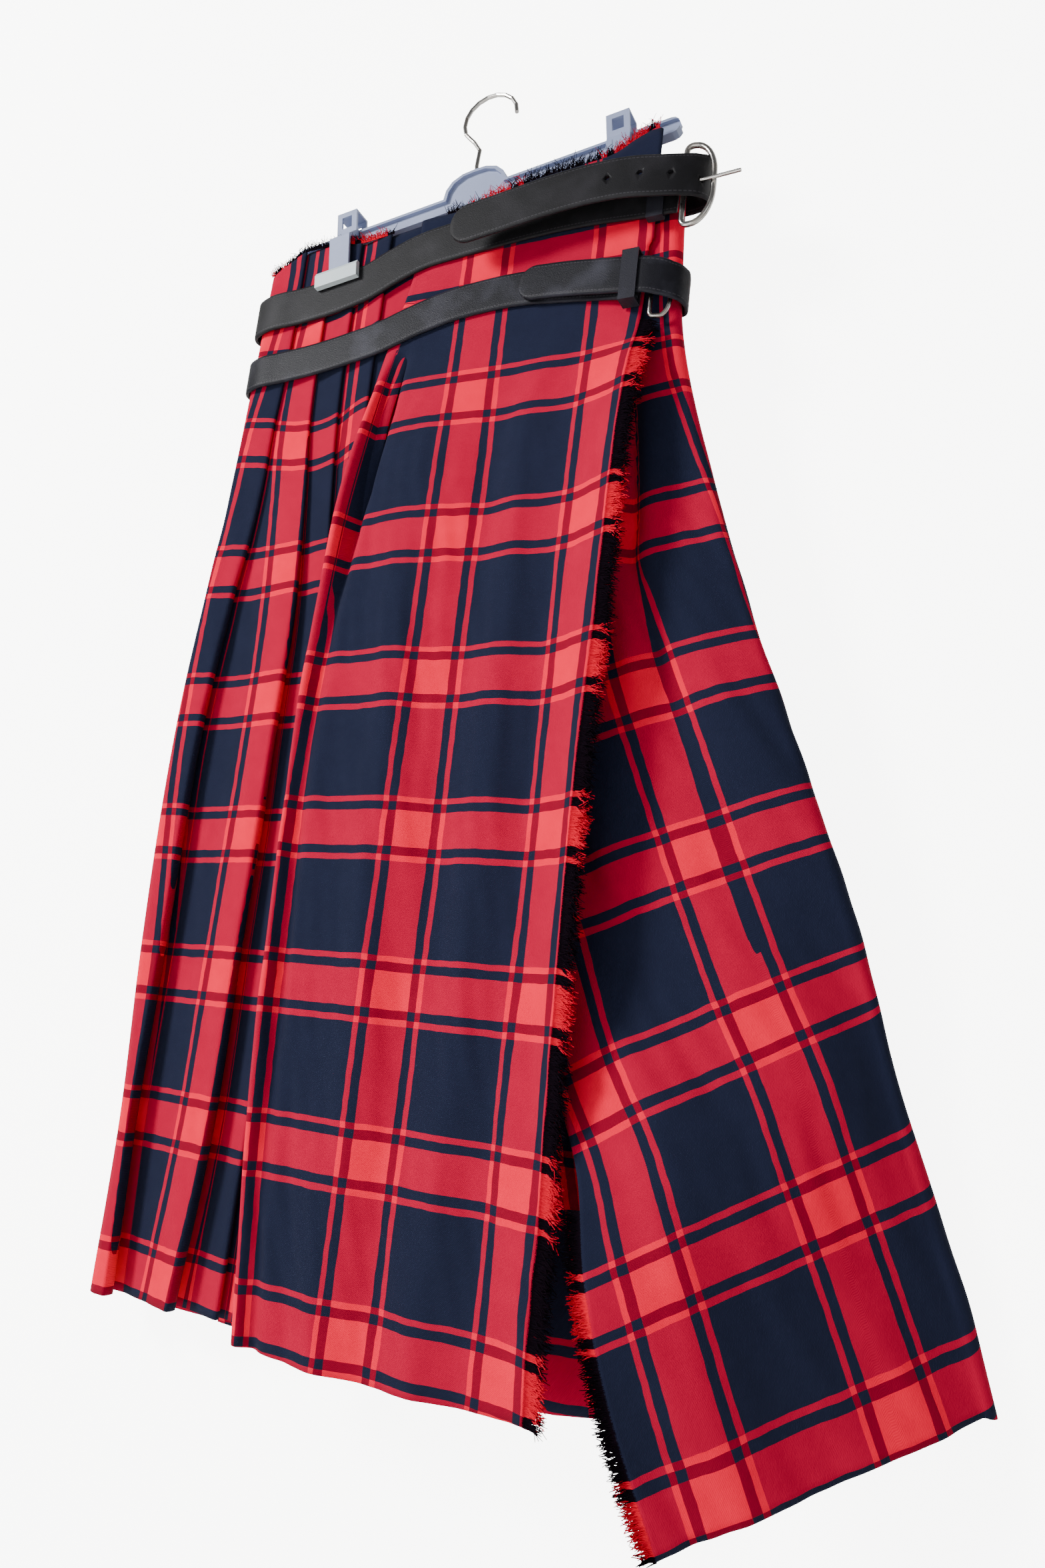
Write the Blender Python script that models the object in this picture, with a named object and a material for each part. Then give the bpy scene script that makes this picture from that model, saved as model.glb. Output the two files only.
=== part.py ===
# Scottish kilt hung flat on a clip hanger: apron in front, knife pleats at the left side and all
# over the back, under apron swinging out at the right, two leather belts.
# Metres, +Z up, origin where the hanger's hook hangs. -Y is the front, +X the viewer's right.
# Tables are in millimetres, with their columns named on the first line.

import math
import random

import bmesh
import bpy
import numpy as np
from mathutils import Matrix, Vector

MM = 0.001

# Cloth
CLOTH = 1.0 * MM            # wall thickness of one layer
SEAM = 0.3 * MM             # gap where two pieces meet
PLEAT_STEP = 1.7            # mm between the middles of two pressed layers
BACK_PLEATS = 12            # knife pleats across the back
BACK_RISE = 0.3             # share of the raw edge's line that the back follows
BACK_LOWER = 8              # mm by which the back's raw edge lies below the front's
LACE_PITCH = 7.0 * MM       # spacing of the fringe locks along an edge
FRINGE_BACKING = 3.0 * MM   # width of the strip that carries a fringe

# Belts
WAIST_BELT = {"width": 32 * MM, "thick": 3.0 * MM, "hole": 2.2 * MM}
HIP_BELT = {"width": 27 * MM, "thick": 3.0 * MM, "hole": 2.0 * MM}
BUCKLE_WIRE = 2.0 * MM      # radius of a buckle frame's wire
PRONG_WIRE = 1.3 * MM       # radius of a prong
KEEPER = 1.1 * MM           # leather of a keeper loop

# Hanger
HANGER_TILT = math.radians(7.5)     # right end up
BAR_CENTRE = Vector((-0.002, 0.0, -0.0895))
BAR_HALF = 163 * MM
BAR_TALL = 13 * MM
BAR_DEEP = 8 * MM
HOOK_WIRE = 1.6 * MM
CLIP_OFFSET = 112 * MM      # each clip's distance from the bar's middle


def table(names, *rows):
    grid = np.array(rows, dtype=float)
    return {name: grid[:, column] for column, name in enumerate(names.split())}


def smooth(at, stations, values):
    # Cubic through the stations, with slopes taken from the neighbours.
    slopes = np.gradient(values, stations)
    i = int(np.clip(np.searchsorted(stations, at) - 1, 0, len(stations) - 2))
    span = stations[i + 1] - stations[i]
    t = min(max((at - stations[i]) / span, 0.0), 1.0)
    a = (1 + 2 * t) * (1 - t) ** 2 * values[i]
    b = t * (1 - t) ** 2 * span * slopes[i]
    c = t * t * (3 - 2 * t) * values[i + 1]
    d = t * t * (t - 1) * span * slopes[i + 1]
    return a + b + c + d


def read(source, name, at):
    return smooth(at, source["v"], source[name])


# v runs down the cloth, 0 at the raw top edge and 1 at the hem.
# left_x: left side of the kilt; e1 to e4: folded edges of the four front pleats;
# pleat_y: their outer layer; apron_x, apron_y: left fold of the front apron;
# step: distance between pressed layers; curl: how far the apron's right edge stands forward.
FRONT = table(
    "v     z     left_x  e1    e2    e3    e4   pleat_y  apron_x  apron_y  step  curl",
    (0.00, -116, -181, -147, -119, -93, -66, -12.6, -40, -12.6, 1.7, 0),
    (0.06, -153, -182, -147, -119, -93, -66, -12.6, -40, -12.6, 1.7, 0),
    (0.15, -226, -184, -149, -119, -93, -66, -12.4, -57, -12.6, 1.7, 0),
    (0.20, -268, -188, -155, -120, -94, -68, -9.0, -66, -13.0, 1.9, 14),
    (0.26, -318, -196, -163, -120, -95, -72, -2.0, -75, -14.0, 2.2, 22),
    (0.36, -400, -211, -181, -120, -96, -78, 5.0, -83, -15.0, 2.7, 25),
    (0.50, -512, -223, -194, -123, -99, -78, 8.5, -87, -15.5, 3.2, 25),
    (0.70, -673, -222, -197, -126, -100, -76, 10.0, -83, -14.5, 3.8, 24),
    (0.84, -784, -217, -199, -128, -101, -74, 11.5, -77, -13.5, 4.2, 20),
    (1.00, -914, -218, -196, -139, -104, -72, 13.0, -64, -12.6, 4.5, 10),
)

# Right side of the kilt, where the under apron turns to the back, and the under apron's free edge.
SIDE = table(
    "v     right_x right_y right_z turn  free_x free_y free_z",
    (0.00, 166, -0.8, -104, 6.2, -40, -7.0, -118),
    (0.08, 169, -0.8, -170, 6.2, -37, -7.0, -182),
    (0.16, 173, -0.5, -228, 6.2, -26, -6.5, -246),
    (0.30, 204, -2.0, -344, 6.4, 10, -3.0, -380),
    (0.43, 240, 0.0, -444, 6.5, 48, -1.0, -496),
    (0.565, 277, 8.0, -546, 6.5, 97, -2.0, -612),
    (0.64, 295, 15.0, -599, 6.5, 122, -6.0, -677),
    (0.70, 309, 22.0, -641, 6.5, 143, -17.0, -729),
    (0.76, 323, 28.5, -684, 6.5, 169, -33.0, -776),
    (0.83, 339, 36.0, -738, 6.5, 190, -60.0, -827),
    (0.92, 363, 43.0, -806, 6.5, 212, -62.0, -888),
    (1.00, 385, 47.0, -872, 6.5, 237, -50.0, -949),
)

# Raw top edge, as drawn out by wear and by the clips.
TOP_EDGE = table(
    "v     rise",
    (-181, -16), (-160, -3), (-143, 4), (-104, -1), (-85, -9), (-45, -3), (0, -3), (50, 16),
    (93, 23), (116, 26), (137, 36), (150, 38), (163, 18), (175, 10),
)

# Soft vertical folds of the front apron.
APRON_FOLDS = table(
    "x_top  x_hem  half_width  top   hem",
    (-20, 2, 22, 3.0, 7.0),
    (52, 30, 18, -2.0, -4.0),
    (78, 70, 16, 2.5, 5.0),
)

# Soft folds of the under apron, placed by the share of its width from the side.
FLAP_FOLDS = table(
    "share  half_width  v_mid  v_reach  depth",
    (0.36, 0.07, 0.38, 0.16, 11.0),
    (0.70, 0.12, 0.85, 0.20, -6.0),
    (0.15, 0.10, 0.60, 0.25, -3.0),
)

BACK = table("v inner_y", (0.0, 2.6), (0.11, 2.6), (0.18, 2.7), (0.4, 22.0), (0.7, 36.0), (1.0, 42.0))

BACK_HEM = table(
    "v     z",
    (-218, -914), (-60, -922), (60, -926), (160, -922), (260, -905), (340, -884), (385, -872),
)


# The rows that every piece of cloth is made from, closer together where the shape turns.
CLOTH_ROWS = (0, 0.05, 0.1, 0.15, 0.2, 0.26, 0.33, 0.41, 0.5, 0.59, 0.68, 0.76, 0.84, 0.92, 1)


def top_rise(x_mm, v):
    # The raw edge's own line, dying away below the belts.
    fade = max(0.0, 1.0 - v / 0.16)
    return smooth(x_mm, TOP_EDGE["v"], TOP_EDGE["rise"]) * fade


def pleat_run(edges, levels, returns, end):
    # One knife-pleated stretch: each pleat runs to its folded edge, back under itself, and on again.
    outer, step = levels
    run = []
    for edge in edges:
        run.append((edge, outer))
        run.append((edge, outer + step))
        run.append((edge - returns, outer + step))
        run.append((edge - returns, outer + 2 * step))
        run.append((edge + 1.5, outer + 2 * step))
    run.append((end, outer + 2 * step))
    return run


def left_pleats_row(v):
    left = read(FRONT, "left_x", v)
    outer = read(FRONT, "pleat_y", v)
    step = read(FRONT, "step", v)
    z = read(FRONT, "z", v)
    middle, radius = left_turn(v)
    arc = []
    for degrees in (182, 205, 230, 255):
        angle = math.radians(degrees)
        arc.append((left + radius + radius * math.cos(angle), middle + radius * math.sin(angle)))
    edges = [read(FRONT, name, v) for name in ("e1", "e2", "e3", "e4")]
    returns = 12 if v < 0.2 else 13
    end = read(FRONT, "apron_x", v) + 18
    if v > 0.12:
        end = min(end, read(SIDE, "free_x", v) - 5)
    run = arc + pleat_run(edges, (outer, step), returns, end)
    return [(x, y, z + top_rise(x, v)) for x, y in run]


def left_turn(v):
    # Middle and radius of the round left side, between the front pleats and the back.
    front = read(FRONT, "pleat_y", v)
    back = back_level(0.0, v) + 2 * PLEAT_STEP
    return (front + back) / 2, (back - front) / 2


def back_level(share, v):
    # Inner layer of the back, from the left side (0) to the right side (1).
    left = read(BACK, "inner_y", v)
    right = read(SIDE, "right_y", v) + read(SIDE, "turn", v) - 2 * PLEAT_STEP
    blend = share * share * (3 - 2 * share)
    return left + (right - left) * blend


def back_row(v):
    left = read(FRONT, "left_x", v)
    middle, radius = left_turn(v)
    turn = read(SIDE, "turn", v)
    start = left + radius
    end = read(SIDE, "right_x", v) - turn
    arc = []
    for degrees in (178, 155, 130, 105):
        angle = math.radians(degrees)
        arc.append((left + radius + radius * math.cos(angle), middle + radius * math.sin(angle)))
    step = PLEAT_STEP + 1.6 * max(0.0, v - 0.2)
    points = list(arc)
    spacing = (end - start) / BACK_PLEATS
    for pleat in range(1, BACK_PLEATS):
        edge = start + pleat * spacing
        inner = back_level(pleat / BACK_PLEATS, v)
        outer = inner + 2 * PLEAT_STEP
        lifted = outer - 2 * step
        points.append((edge, outer))
        points.append((edge, outer - step))
        points.append((edge - 11, outer - step))
        points.append((edge - 11, lifted))
        points.append((edge + 1.5, lifted))
    inner = back_level(1.0, v)
    points.append((end - 4, inner + 2 * PLEAT_STEP))
    points.append((end + 0.2 * turn, inner + 2 * PLEAT_STEP))
    left_z = read(FRONT, "z", v)
    right_z = read(SIDE, "right_z", v)
    row = []
    for x, y in points:
        share = min(max((x - left) / (end - left), 0.0), 1.0)
        z = left_z + (right_z - left_z) * share ** 1.6
        if v > 0.5:
            hem = smooth(x, BACK_HEM["v"], BACK_HEM["z"])
            drawn = -914 + (-872 + 914) * share ** 1.6
            z += (hem - drawn) * (v - 0.5) / 0.5
        if share < 0.97:
            z += BACK_RISE * top_rise(x, v) - BACK_LOWER * max(0.0, 1 - v / 0.16)
        row.append((x, y, z))
    return row


def apron_y(x, v):
    # Front apron's own surface: soft folds, then the right edge curling forward.
    y = read(FRONT, "apron_y", v)
    loose = min(max((v - 0.15) / 0.11, 0.0), 1.0)
    for i in range(len(APRON_FOLDS["x_top"])):
        centre = APRON_FOLDS["x_top"][i] * (1 - v) + APRON_FOLDS["x_hem"][i] * v
        depth = APRON_FOLDS["top"][i] * (1 - v) + APRON_FOLDS["hem"][i] * v
        y -= loose * depth * math.exp(-((x - centre) / APRON_FOLDS["half_width"][i]) ** 2)
    curled = max(0.0, (x - 100) / 48)
    return y - read(FRONT, "curl", v) * curled ** 1.5


def apron_row(v):
    left = read(FRONT, "apron_x", v)
    z = read(FRONT, "z", v)
    right = apron_right(v)
    front = apron_y(left + 6, v)
    open_by = 1.7 + 9.0 * min(max((v - 0.16) / 0.2, 0.0), 1.0)
    back = front + open_by
    inner = max(back, read(FRONT, "pleat_y", v) - 0.2 * open_by) if v > 0.2 else back
    run = [(left + 22, inner), (left + 5, back), (left + 0.6, back - 0.16 * open_by)]
    run += [(left + 0.6, front + 0.16 * open_by), (left + 5, front)]
    for i in range(1, 15):
        x = left + 5 + (right - left - 5) * i / 14
        run.append((x, apron_y(x, v)))
    return [(x, y, z + top_rise(x, v) + apron_sag(x, v)) for x, y in run]


def fold_part(row):
    # The apron's left edge, folded under, parted from its flat by a seam.
    x, y, z = row[5]
    return row[:5] + [(x - SEAM / MM, y, z)]


def apron_right(v):
    return 148 + (3 if v < 0.1 else 0)


def apron_sag(x, v):
    # The apron's hem runs a little lower towards its middle.
    return -4 * v ** 3 * math.sin(math.pi * min(max((x + 64) / 212, 0.0), 1.0))


def under_apron_row(v):
    side = Vector([read(SIDE, name, v) for name in ("right_x", "right_y", "right_z")])
    free = Vector([read(SIDE, name, v) for name in ("free_x", "free_y", "free_z")])
    turn = read(SIDE, "turn", v)
    start = side + Vector((-turn, -turn, 0))
    run = []
    for i in range(15):
        share = 1 - i / 14
        point = start.lerp(free, share)
        bow = 4 * share * (1 - share)
        point.y -= bow * flap_bow(v)
        for k in range(len(FLAP_FOLDS["share"])):
            near = math.exp(-((share - FLAP_FOLDS["share"][k]) / FLAP_FOLDS["half_width"][k]) ** 2)
            reach = math.exp(-((v - FLAP_FOLDS["v_mid"][k]) / FLAP_FOLDS["v_reach"][k]) ** 2)
            point.y += FLAP_FOLDS["depth"][k] * near * reach
        run.append(tuple(point))
    for degrees in (-62, -30, 0, 32, 64):
        angle = math.radians(degrees)
        run.append((side.x - turn + turn * math.cos(angle), side.y + turn * math.sin(angle), side.z))
    return run


def flap_bow(v):
    # How far the under apron bellies forward between its two edges.
    return smooth(v, np.array([0, 0.16, 0.3, 0.5, 0.7, 1.0]), np.array([0.0, 0.0, 5.0, 9.0, 8.0, 5.0]))


def material(name, colour, roughness, metallic=0.0):
    made = bpy.data.materials.new(name)
    made.use_nodes = True
    shader = made.node_tree.nodes["Principled BSDF"]
    shader.inputs["Base Color"].default_value = (*colour, 1.0)
    shader.inputs["Roughness"].default_value = roughness
    shader.inputs["Metallic"].default_value = metallic
    return made


def finish(name, bm, surface, smooth_shade=True):
    bmesh.ops.recalc_face_normals(bm, faces=bm.faces)
    mesh = bpy.data.meshes.new(name)
    bm.to_mesh(mesh)
    bm.free()
    made = bpy.data.objects.new(name, mesh)
    bpy.context.scene.collection.objects.link(made)
    made.data.materials.append(surface)
    if smooth_shade:
        mesh.shade_smooth()
        mesh.set_sharp_from_angle(angle=math.radians(40))
    return made


def sideways(row):
    # Level unit normal at each point of a row, longer where the row turns a corner.
    out = []
    for i, here in enumerate(row):
        before = row[max(i - 1, 0)]
        after = row[min(i + 1, len(row) - 1)]
        first = Vector((here[0] - before[0], here[1] - before[1]))
        second = Vector((after[0] - here[0], after[1] - here[1]))
        if first.length < 1e-9:
            first = second
        if second.length < 1e-9:
            second = first
        first.normalize()
        second.normalize()
        tangent = first + second
        if tangent.length < 1e-6:
            tangent = second
        tangent.normalize()
        spread = max(0.55, tangent.dot(second))
        out.append(Vector((-tangent.y, tangent.x, 0.0)) / spread)
    return out


def wall(name, rows, surface, thick=CLOTH):
    # A closed wall with its middle on the rows, which are in millimetres.
    bm = bmesh.new()
    front = []
    back = []
    for row in rows:
        normals = sideways(row)
        points = [Vector(p) * MM for p in row]
        front.append([bm.verts.new(p + n * thick / 2) for p, n in zip(points, normals)])
        back.append([bm.verts.new(p - n * thick / 2) for p, n in zip(points, normals)])
    last_row = len(rows) - 1
    last = len(rows[0]) - 1
    for i in range(last_row):
        for j in range(last):
            bm.faces.new((front[i][j], front[i][j + 1], front[i + 1][j + 1], front[i + 1][j]))
            bm.faces.new((back[i][j], back[i + 1][j], back[i + 1][j + 1], back[i][j + 1]))
        for j in (0, last):
            bm.faces.new((front[i][j], front[i + 1][j], back[i + 1][j], back[i][j]))
    for j in range(last):
        for i in (0, last_row):
            bm.faces.new((front[i][j], back[i][j], back[i][j + 1], front[i][j + 1]))
    return finish(name, bm, surface)


def fringe(name, edge, outward, surface, seed, length, gap=SEAM):
    # A narrow strip just outside a cloth edge, with a flat tapering lock from each of its bays.
    rng = random.Random(seed)
    bm = bmesh.new()
    inner = []
    outer = []
    for i, (point, out) in enumerate(zip(edge, outward)):
        along = (edge[min(i + 1, len(edge) - 1)] - edge[max(i - 1, 0)]).normalized()
        face = along.cross(out).normalized() * CLOTH / 2
        near = point + out * gap
        far = point + out * (gap + FRINGE_BACKING)
        inner.append((bm.verts.new(near + face), bm.verts.new(near - face)))
        outer.append((bm.verts.new(far + face), bm.verts.new(far - face)))
    for i in range(len(edge) - 1):
        bm.faces.new((inner[i][0], inner[i + 1][0], outer[i + 1][0], outer[i][0]))
        bm.faces.new((inner[i][1], outer[i][1], outer[i + 1][1], inner[i + 1][1]))
        bm.faces.new((inner[i][0], inner[i][1], inner[i + 1][1], inner[i + 1][0]))
        root = (outer[i][0], outer[i + 1][0], outer[i + 1][1], outer[i][1])
        out = (outward[i] + outward[i + 1]).normalized()
        reach = length * rng.uniform(0.7, 1.25)
        droop = Vector((0, 0, -1)) * reach * rng.uniform(0.1, 0.55)
        shake = Vector((rng.uniform(-1, 1), rng.uniform(-1, 1), rng.uniform(-1, 1))) * reach * 0.06
        centre = sum((v.co for v in root), Vector()) / 4
        waist = []
        for v in root:
            spread = (v.co - centre) * 0.62
            waist.append(bm.verts.new(centre + spread + out * reach * 0.55 + droop * 0.35 + shake * 0.4))
        tip = bm.verts.new(centre + out * reach * 0.9 + droop + shake)
        for k in range(4):
            n = (k + 1) % 4
            bm.faces.new((root[k], root[n], waist[n], waist[k]))
            bm.faces.new((waist[k], waist[n], tip))
    for i in (0, len(edge) - 1):
        bm.faces.new((inner[i][0], outer[i][0], outer[i][1], inner[i][1]))
    return finish(name, bm, surface)


def evenly(points, pitch):
    # The same line, with points a pitch apart.
    spans = [0.0]
    for a, b in zip(points, points[1:]):
        spans.append(spans[-1] + (b - a).length)
    count = max(2, round(spans[-1] / pitch) + 1)
    out = []
    for i in range(count):
        at = spans[-1] * i / (count - 1)
        k = min(int(np.searchsorted(spans, at, side="right")) - 1, len(points) - 2)
        t = (at - spans[k]) / (spans[k + 1] - spans[k])
        out.append(points[k].lerp(points[k + 1], t))
    return out


def edge_of(rows, last=True):
    # The line along one end of the rows, and the level direction that points out of the cloth.
    points = []
    ways = []
    for row in rows:
        end, beside = (row[-1], row[-2]) if last else (row[0], row[1])
        points.append(Vector(end) * MM)
        ways.append(Vector((end[0] - beside[0], end[1] - beside[1], 0)).normalized())
    return points, ways


def make_fringes(rows, surface):
    apron, under = rows["front_apron"], rows["under_apron"]
    points, ways = edge_of(apron)
    line = evenly([p for p in points if p.z < -0.24], LACE_PITCH)
    outward = [nearest_way(p, points, ways) for p in line]
    fringe("apron_fringe", line, outward, surface, 3, 13 * MM)
    points, ways = edge_of(under, last=False)
    line = evenly([p for p in points if p.z < -0.80], LACE_PITCH)
    outward = [nearest_way(p, points, ways) for p in line]
    fringe("under_apron_fringe", line, outward, surface, 5, 12 * MM)
    for name, source, low, high, seed in (
            ("top_fringe_left", rows["left_pleats"], -172, -122, 7),
            ("top_fringe_right", apron, 62, 146, 9)):
        crest = [Vector(p) * MM for p in source[0] if low <= p[0] <= high]
        crest = top_line(crest)
        line = evenly(crest, 5 * MM)
        upward = [Vector((0, -0.2, 1)).normalized()] * len(line)
        fringe(name, line, upward, surface, seed, 9 * MM, gap=0.9 * MM)


def top_line(points):
    # Left to right only, on one level, so that the strip crosses no pleat.
    out = [points[0]]
    for p in points[1:]:
        if p.x > out[-1].x + 0.004:
            out.append(p)
    front = min(p.y for p in out)
    return [Vector((p.x, front, p.z)) for p in out]


def nearest_way(point, points, ways):
    best = min(range(len(points)), key=lambda i: (points[i] - point).length)
    return ways[best]


# Centre lines of the belts, front stretch first: level place and height, in millimetres.
WAIST_PATH = table(
    "x     y     z",
    (169, -17.3, -137), (148, -17, -136), (125, -15.6, -133), (90, -15.2, -131),
    (45, -15.2, -132), (0, -15.2, -135), (-35, -15.2, -139), (-57, -15.2, -146),
    (-79, -15.2, -155), (-105, -15.2, -161), (-140, -15.3, -165), (-175, -15.6, -168),
    (-183.8, -12, -169), (-187.6, -3.3, -168), (-183.8, 5.6, -167), (-175, 9.2, -165),
    (-120, 8.6, -157), (-60, 8.6, -148), (0, 8.5, -140), (60, 8.4, -133), (120, 8.3, -125),
    (158, 8.2, -121), (174, 7.0, -121), (183.5, 1, -123), (187, -7, -126), (186.5, -15, -129),
    (182, -22, -131), (173, -27.4, -132.5), (158, -31.4, -132.5), (139, -34, -131),
    (115, -35.6, -131), (91, -36.8, -133), (66, -37.5, -136), (40, -38, -140), (19, -38, -142.5),
)
HIP_PATH = table(
    "x     y     z",
    (149, -17.8, -203), (133, -17.4, -199), (108, -15.4, -194), (85, -15.2, -191), (60, -15.2, -188),
    (25, -15.2, -188), (-5, -15.2, -191), (-35, -15.2, -198), (-62, -15.2, -206),
    (-90, -15.2, -211), (-120, -15.2, -215), (-150, -15.2, -217), (-175, -15.2, -219),
    (-183.6, -11.6, -220), (-187.6, -3, -219), (-183.6, 5.5, -217), (-175, 9.1, -216),
    (-120, 8.9, -213), (-60, 8.9, -207), (0, 8.9, -202), (60, 8.9, -200), (120, 8.9, -200),
    (150, 8.9, -201), (165, 8.9, -202), (172, 6.3, -203), (175, -0.6, -204), (176, -6, -205),
    (174, -13, -205),
    (167, -18.8, -204), (157, -21.6, -201), (140, -22.2, -198), (115, -21.4, -194),
    (90, -20.2, -190), (68, -19.6, -188),
)


def path_points(source, per_span=2):
    # A smooth line through the path's own points, measured along it.
    keys = np.stack([source["x"], source["y"], source["z"]], axis=1)
    run = np.concatenate([[0.0], np.cumsum(np.linalg.norm(np.diff(keys, axis=0), axis=1))])
    out = []
    for i in range(len(keys) - 1):
        for k in range(per_span):
            at = run[i] + (run[i + 1] - run[i]) * k / per_span
            out.append(Vector([smooth(at, run, keys[:, axis]) for axis in range(3)]) * MM)
    out.append(Vector(keys[-1]) * MM)
    return out


def rounded_tail(points, width):
    # Adds stations to the last stretch, so that the strap's end can be cut round.
    end, before = points[-1], points[-2]
    along = (end - before).normalized()
    widths = [1.0] * len(points)
    for share in (0.35, 0.65, 0.85, 0.97):
        points.append(end + along * width / 2 * share)
        widths.append(math.sqrt(1 - share * share))
    return points, widths


def strap(name, source, belt, surface):
    points, widths = rounded_tail(path_points(source), belt["width"])
    bm = bmesh.new()
    rings = []
    for i, point in enumerate(points):
        along = points[min(i + 1, len(points) - 1)] - points[max(i - 1, 0)]
        level = Vector((-along.y, along.x, 0)).normalized() * belt["thick"] / 2
        rise = level.cross(along).normalized() * belt["width"] / 2 * widths[i]
        if rise.z < 0:
            rise.negate()
        corners = (point + level + rise, point - level + rise, point - level - rise, point + level - rise)
        rings.append([bm.verts.new(c) for c in corners])
    for a, b in zip(rings, rings[1:]):
        for k in range(4):
            n = (k + 1) % 4
            bm.faces.new((a[k], a[n], b[n], b[k]))
    bm.faces.new(rings[0])
    bm.faces.new(list(reversed(rings[-1])))
    return finish(name, bm, surface)


def cutter(name, start, end, radius, sides=10):
    axis = end - start
    bm = bmesh.new()
    turn = Vector((0, 0, 1)).rotation_difference(axis).to_matrix().to_4x4()
    place = Matrix.Translation((start + end) / 2) @ turn
    bmesh.ops.create_cone(bm, cap_ends=True, segments=sides, radius1=radius, radius2=radius,
                          depth=axis.length, matrix=place)
    mesh = bpy.data.meshes.new(name)
    bm.to_mesh(mesh)
    bm.free()
    made = bpy.data.objects.new(name, mesh)
    bpy.context.scene.collection.objects.link(made)
    made.hide_render = True
    made.display_type = "WIRE"
    return made


def cut(target, tool):
    modifier = target.modifiers.new("cut_" + tool.name, "BOOLEAN")
    modifier.operation = "DIFFERENCE"
    modifier.solver = "EXACT"
    modifier.object = tool


def tube(name, points, radius, surface, sides=2, closed=False):
    curve = bpy.data.curves.new(name, "CURVE")
    curve.dimensions = "3D"
    curve.bevel_depth = radius
    curve.bevel_resolution = sides
    curve.use_fill_caps = not closed
    spline = curve.splines.new("POLY")
    spline.points.add(len(points) - 1)
    for slot, p in zip(spline.points, points):
        slot.co = (*p, 1.0)
    spline.use_cyclic_u = closed
    spline.use_smooth = True
    made = bpy.data.objects.new(name, curve)
    bpy.context.scene.collection.objects.link(made)
    curve.materials.append(surface)
    return made


def frame_loop(inner, outer, low, high, corner):
    # A rectangle with round corners, from the inner bar (hidden) to the outer bar, both upright.
    out = []
    across = (outer - inner).normalized()
    up = Vector((0, 0, 1))
    width = (outer - inner).length
    tall = high - low
    origin = Vector((inner.x, inner.y, (low + high) / 2))
    half_w, half_t = width / 2, tall / 2
    for sx, sz, first in ((1, 1, 0), (-1, 1, 90), (-1, -1, 180), (1, -1, 270)):
        for k in range(4):
            angle = math.radians(first + 30 * k)
            a = sx * (half_w - corner) + corner * math.cos(angle)
            b = sz * (half_t - corner) + corner * math.sin(angle)
            out.append(origin + across * (half_w + a) + up * b)
    return out


def box_loop(name, centre, half, thick, surface):
    # A flat leather loop round a strap: outer box minus inner box, along X.
    outer = [Vector((0, sy * (half[1] + thick), sz * (half[2] + thick))) for sy, sz in
             ((-1, -1), (1, -1), (1, 1), (-1, 1))]
    inner = [Vector((0, sy * half[1], sz * half[2])) for sy, sz in ((-1, -1), (1, -1), (1, 1), (-1, 1))]
    bm = bmesh.new()
    ends = []
    for x in (-half[0], half[0]):
        side = Vector((x, 0, 0)) + centre
        ends.append(([bm.verts.new(side + p) for p in outer], [bm.verts.new(side + p) for p in inner]))
    (out_a, in_a), (out_b, in_b) = ends
    for k in range(4):
        n = (k + 1) % 4
        bm.faces.new((out_a[k], out_b[k], out_b[n], out_a[n]))
        bm.faces.new((in_a[k], in_a[n], in_b[n], in_b[k]))
        bm.faces.new((out_a[k], out_a[n], in_a[n], in_a[k]))
        bm.faces.new((out_b[k], in_b[k], in_b[n], out_b[n]))
    return finish(name, bm, surface, smooth_shade=False)


def make_belts(leather, steel):
    waist = strap("waist_belt_strap", WAIST_PATH, WAIST_BELT, leather)
    for i, (x, y, z) in enumerate(((123, -35.2, -130), (146, -33.2, -130), (167, -29.2, -132))):
        hole = cutter("waist_hole_%d" % i, Vector((x, y - 8, z)) * MM, Vector((x, y + 8, z)) * MM,
                      WAIST_BELT["hole"])
        cut(waist, hole)
    eye = (Vector((174, -19.4, -134)) * MM, Vector((213, -22.5, -135)) * MM)
    cut(waist, cutter("waist_prong_hole", eye[0], eye[0].lerp(eye[1], 0.55), PRONG_WIRE + 0.9 * MM))
    inner, outer = Vector((172.6, -18.6, 0)) * MM, Vector((193, -17.5, 0)) * MM
    loop = frame_loop(inner, outer, -165 * MM, -104 * MM, 5 * MM)
    tube("waist_belt_frame", loop, BUCKLE_WIRE, steel, closed=True)
    tube("waist_belt_prong", [eye[0] + Vector((0.0024, 0, 0)), eye[0].lerp(eye[1], 0.4), eye[1]],
         PRONG_WIRE, steel)
    hip = strap("hip_belt_strap", HIP_PATH, HIP_BELT, leather)
    for i, (x, y, z) in enumerate(((92, -20.5, -190.3), (116, -21.6, -194.2))):
        hole = cutter("hip_hole_%d" % i, Vector((x, y - 1.2, z)) * MM, Vector((x, y - 6, z)) * MM,
                      HIP_BELT["hole"])
        cut(hip, hole)
    inner, outer = Vector((152.6, -16.0, 0)) * MM, Vector((166.5, -12.8, 0)) * MM
    loop = frame_loop(inner, outer, -235 * MM, -193 * MM, 4 * MM)
    tube("hip_belt_frame", loop, BUCKLE_WIRE * 0.8, steel, closed=True)
    box_loop("hip_belt_keeper", Vector((141, -20, -199.3)) * MM, Vector((6, 4.4, 17.8)) * MM, KEEPER,
             leather)
    box_loop("waist_belt_keeper", Vector((153, -17, -136)) * MM, Vector((6, 1.9, 17)) * MM, KEEPER,
             leather)


def hanger_place(along, depth, rise):
    # From the hanger's own frame (along the bar, towards the wall, up) to the part's.
    turn = Matrix.Rotation(-HANGER_TILT, 3, "Y")
    return BAR_CENTRE + turn @ Vector((along, depth, rise))


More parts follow.
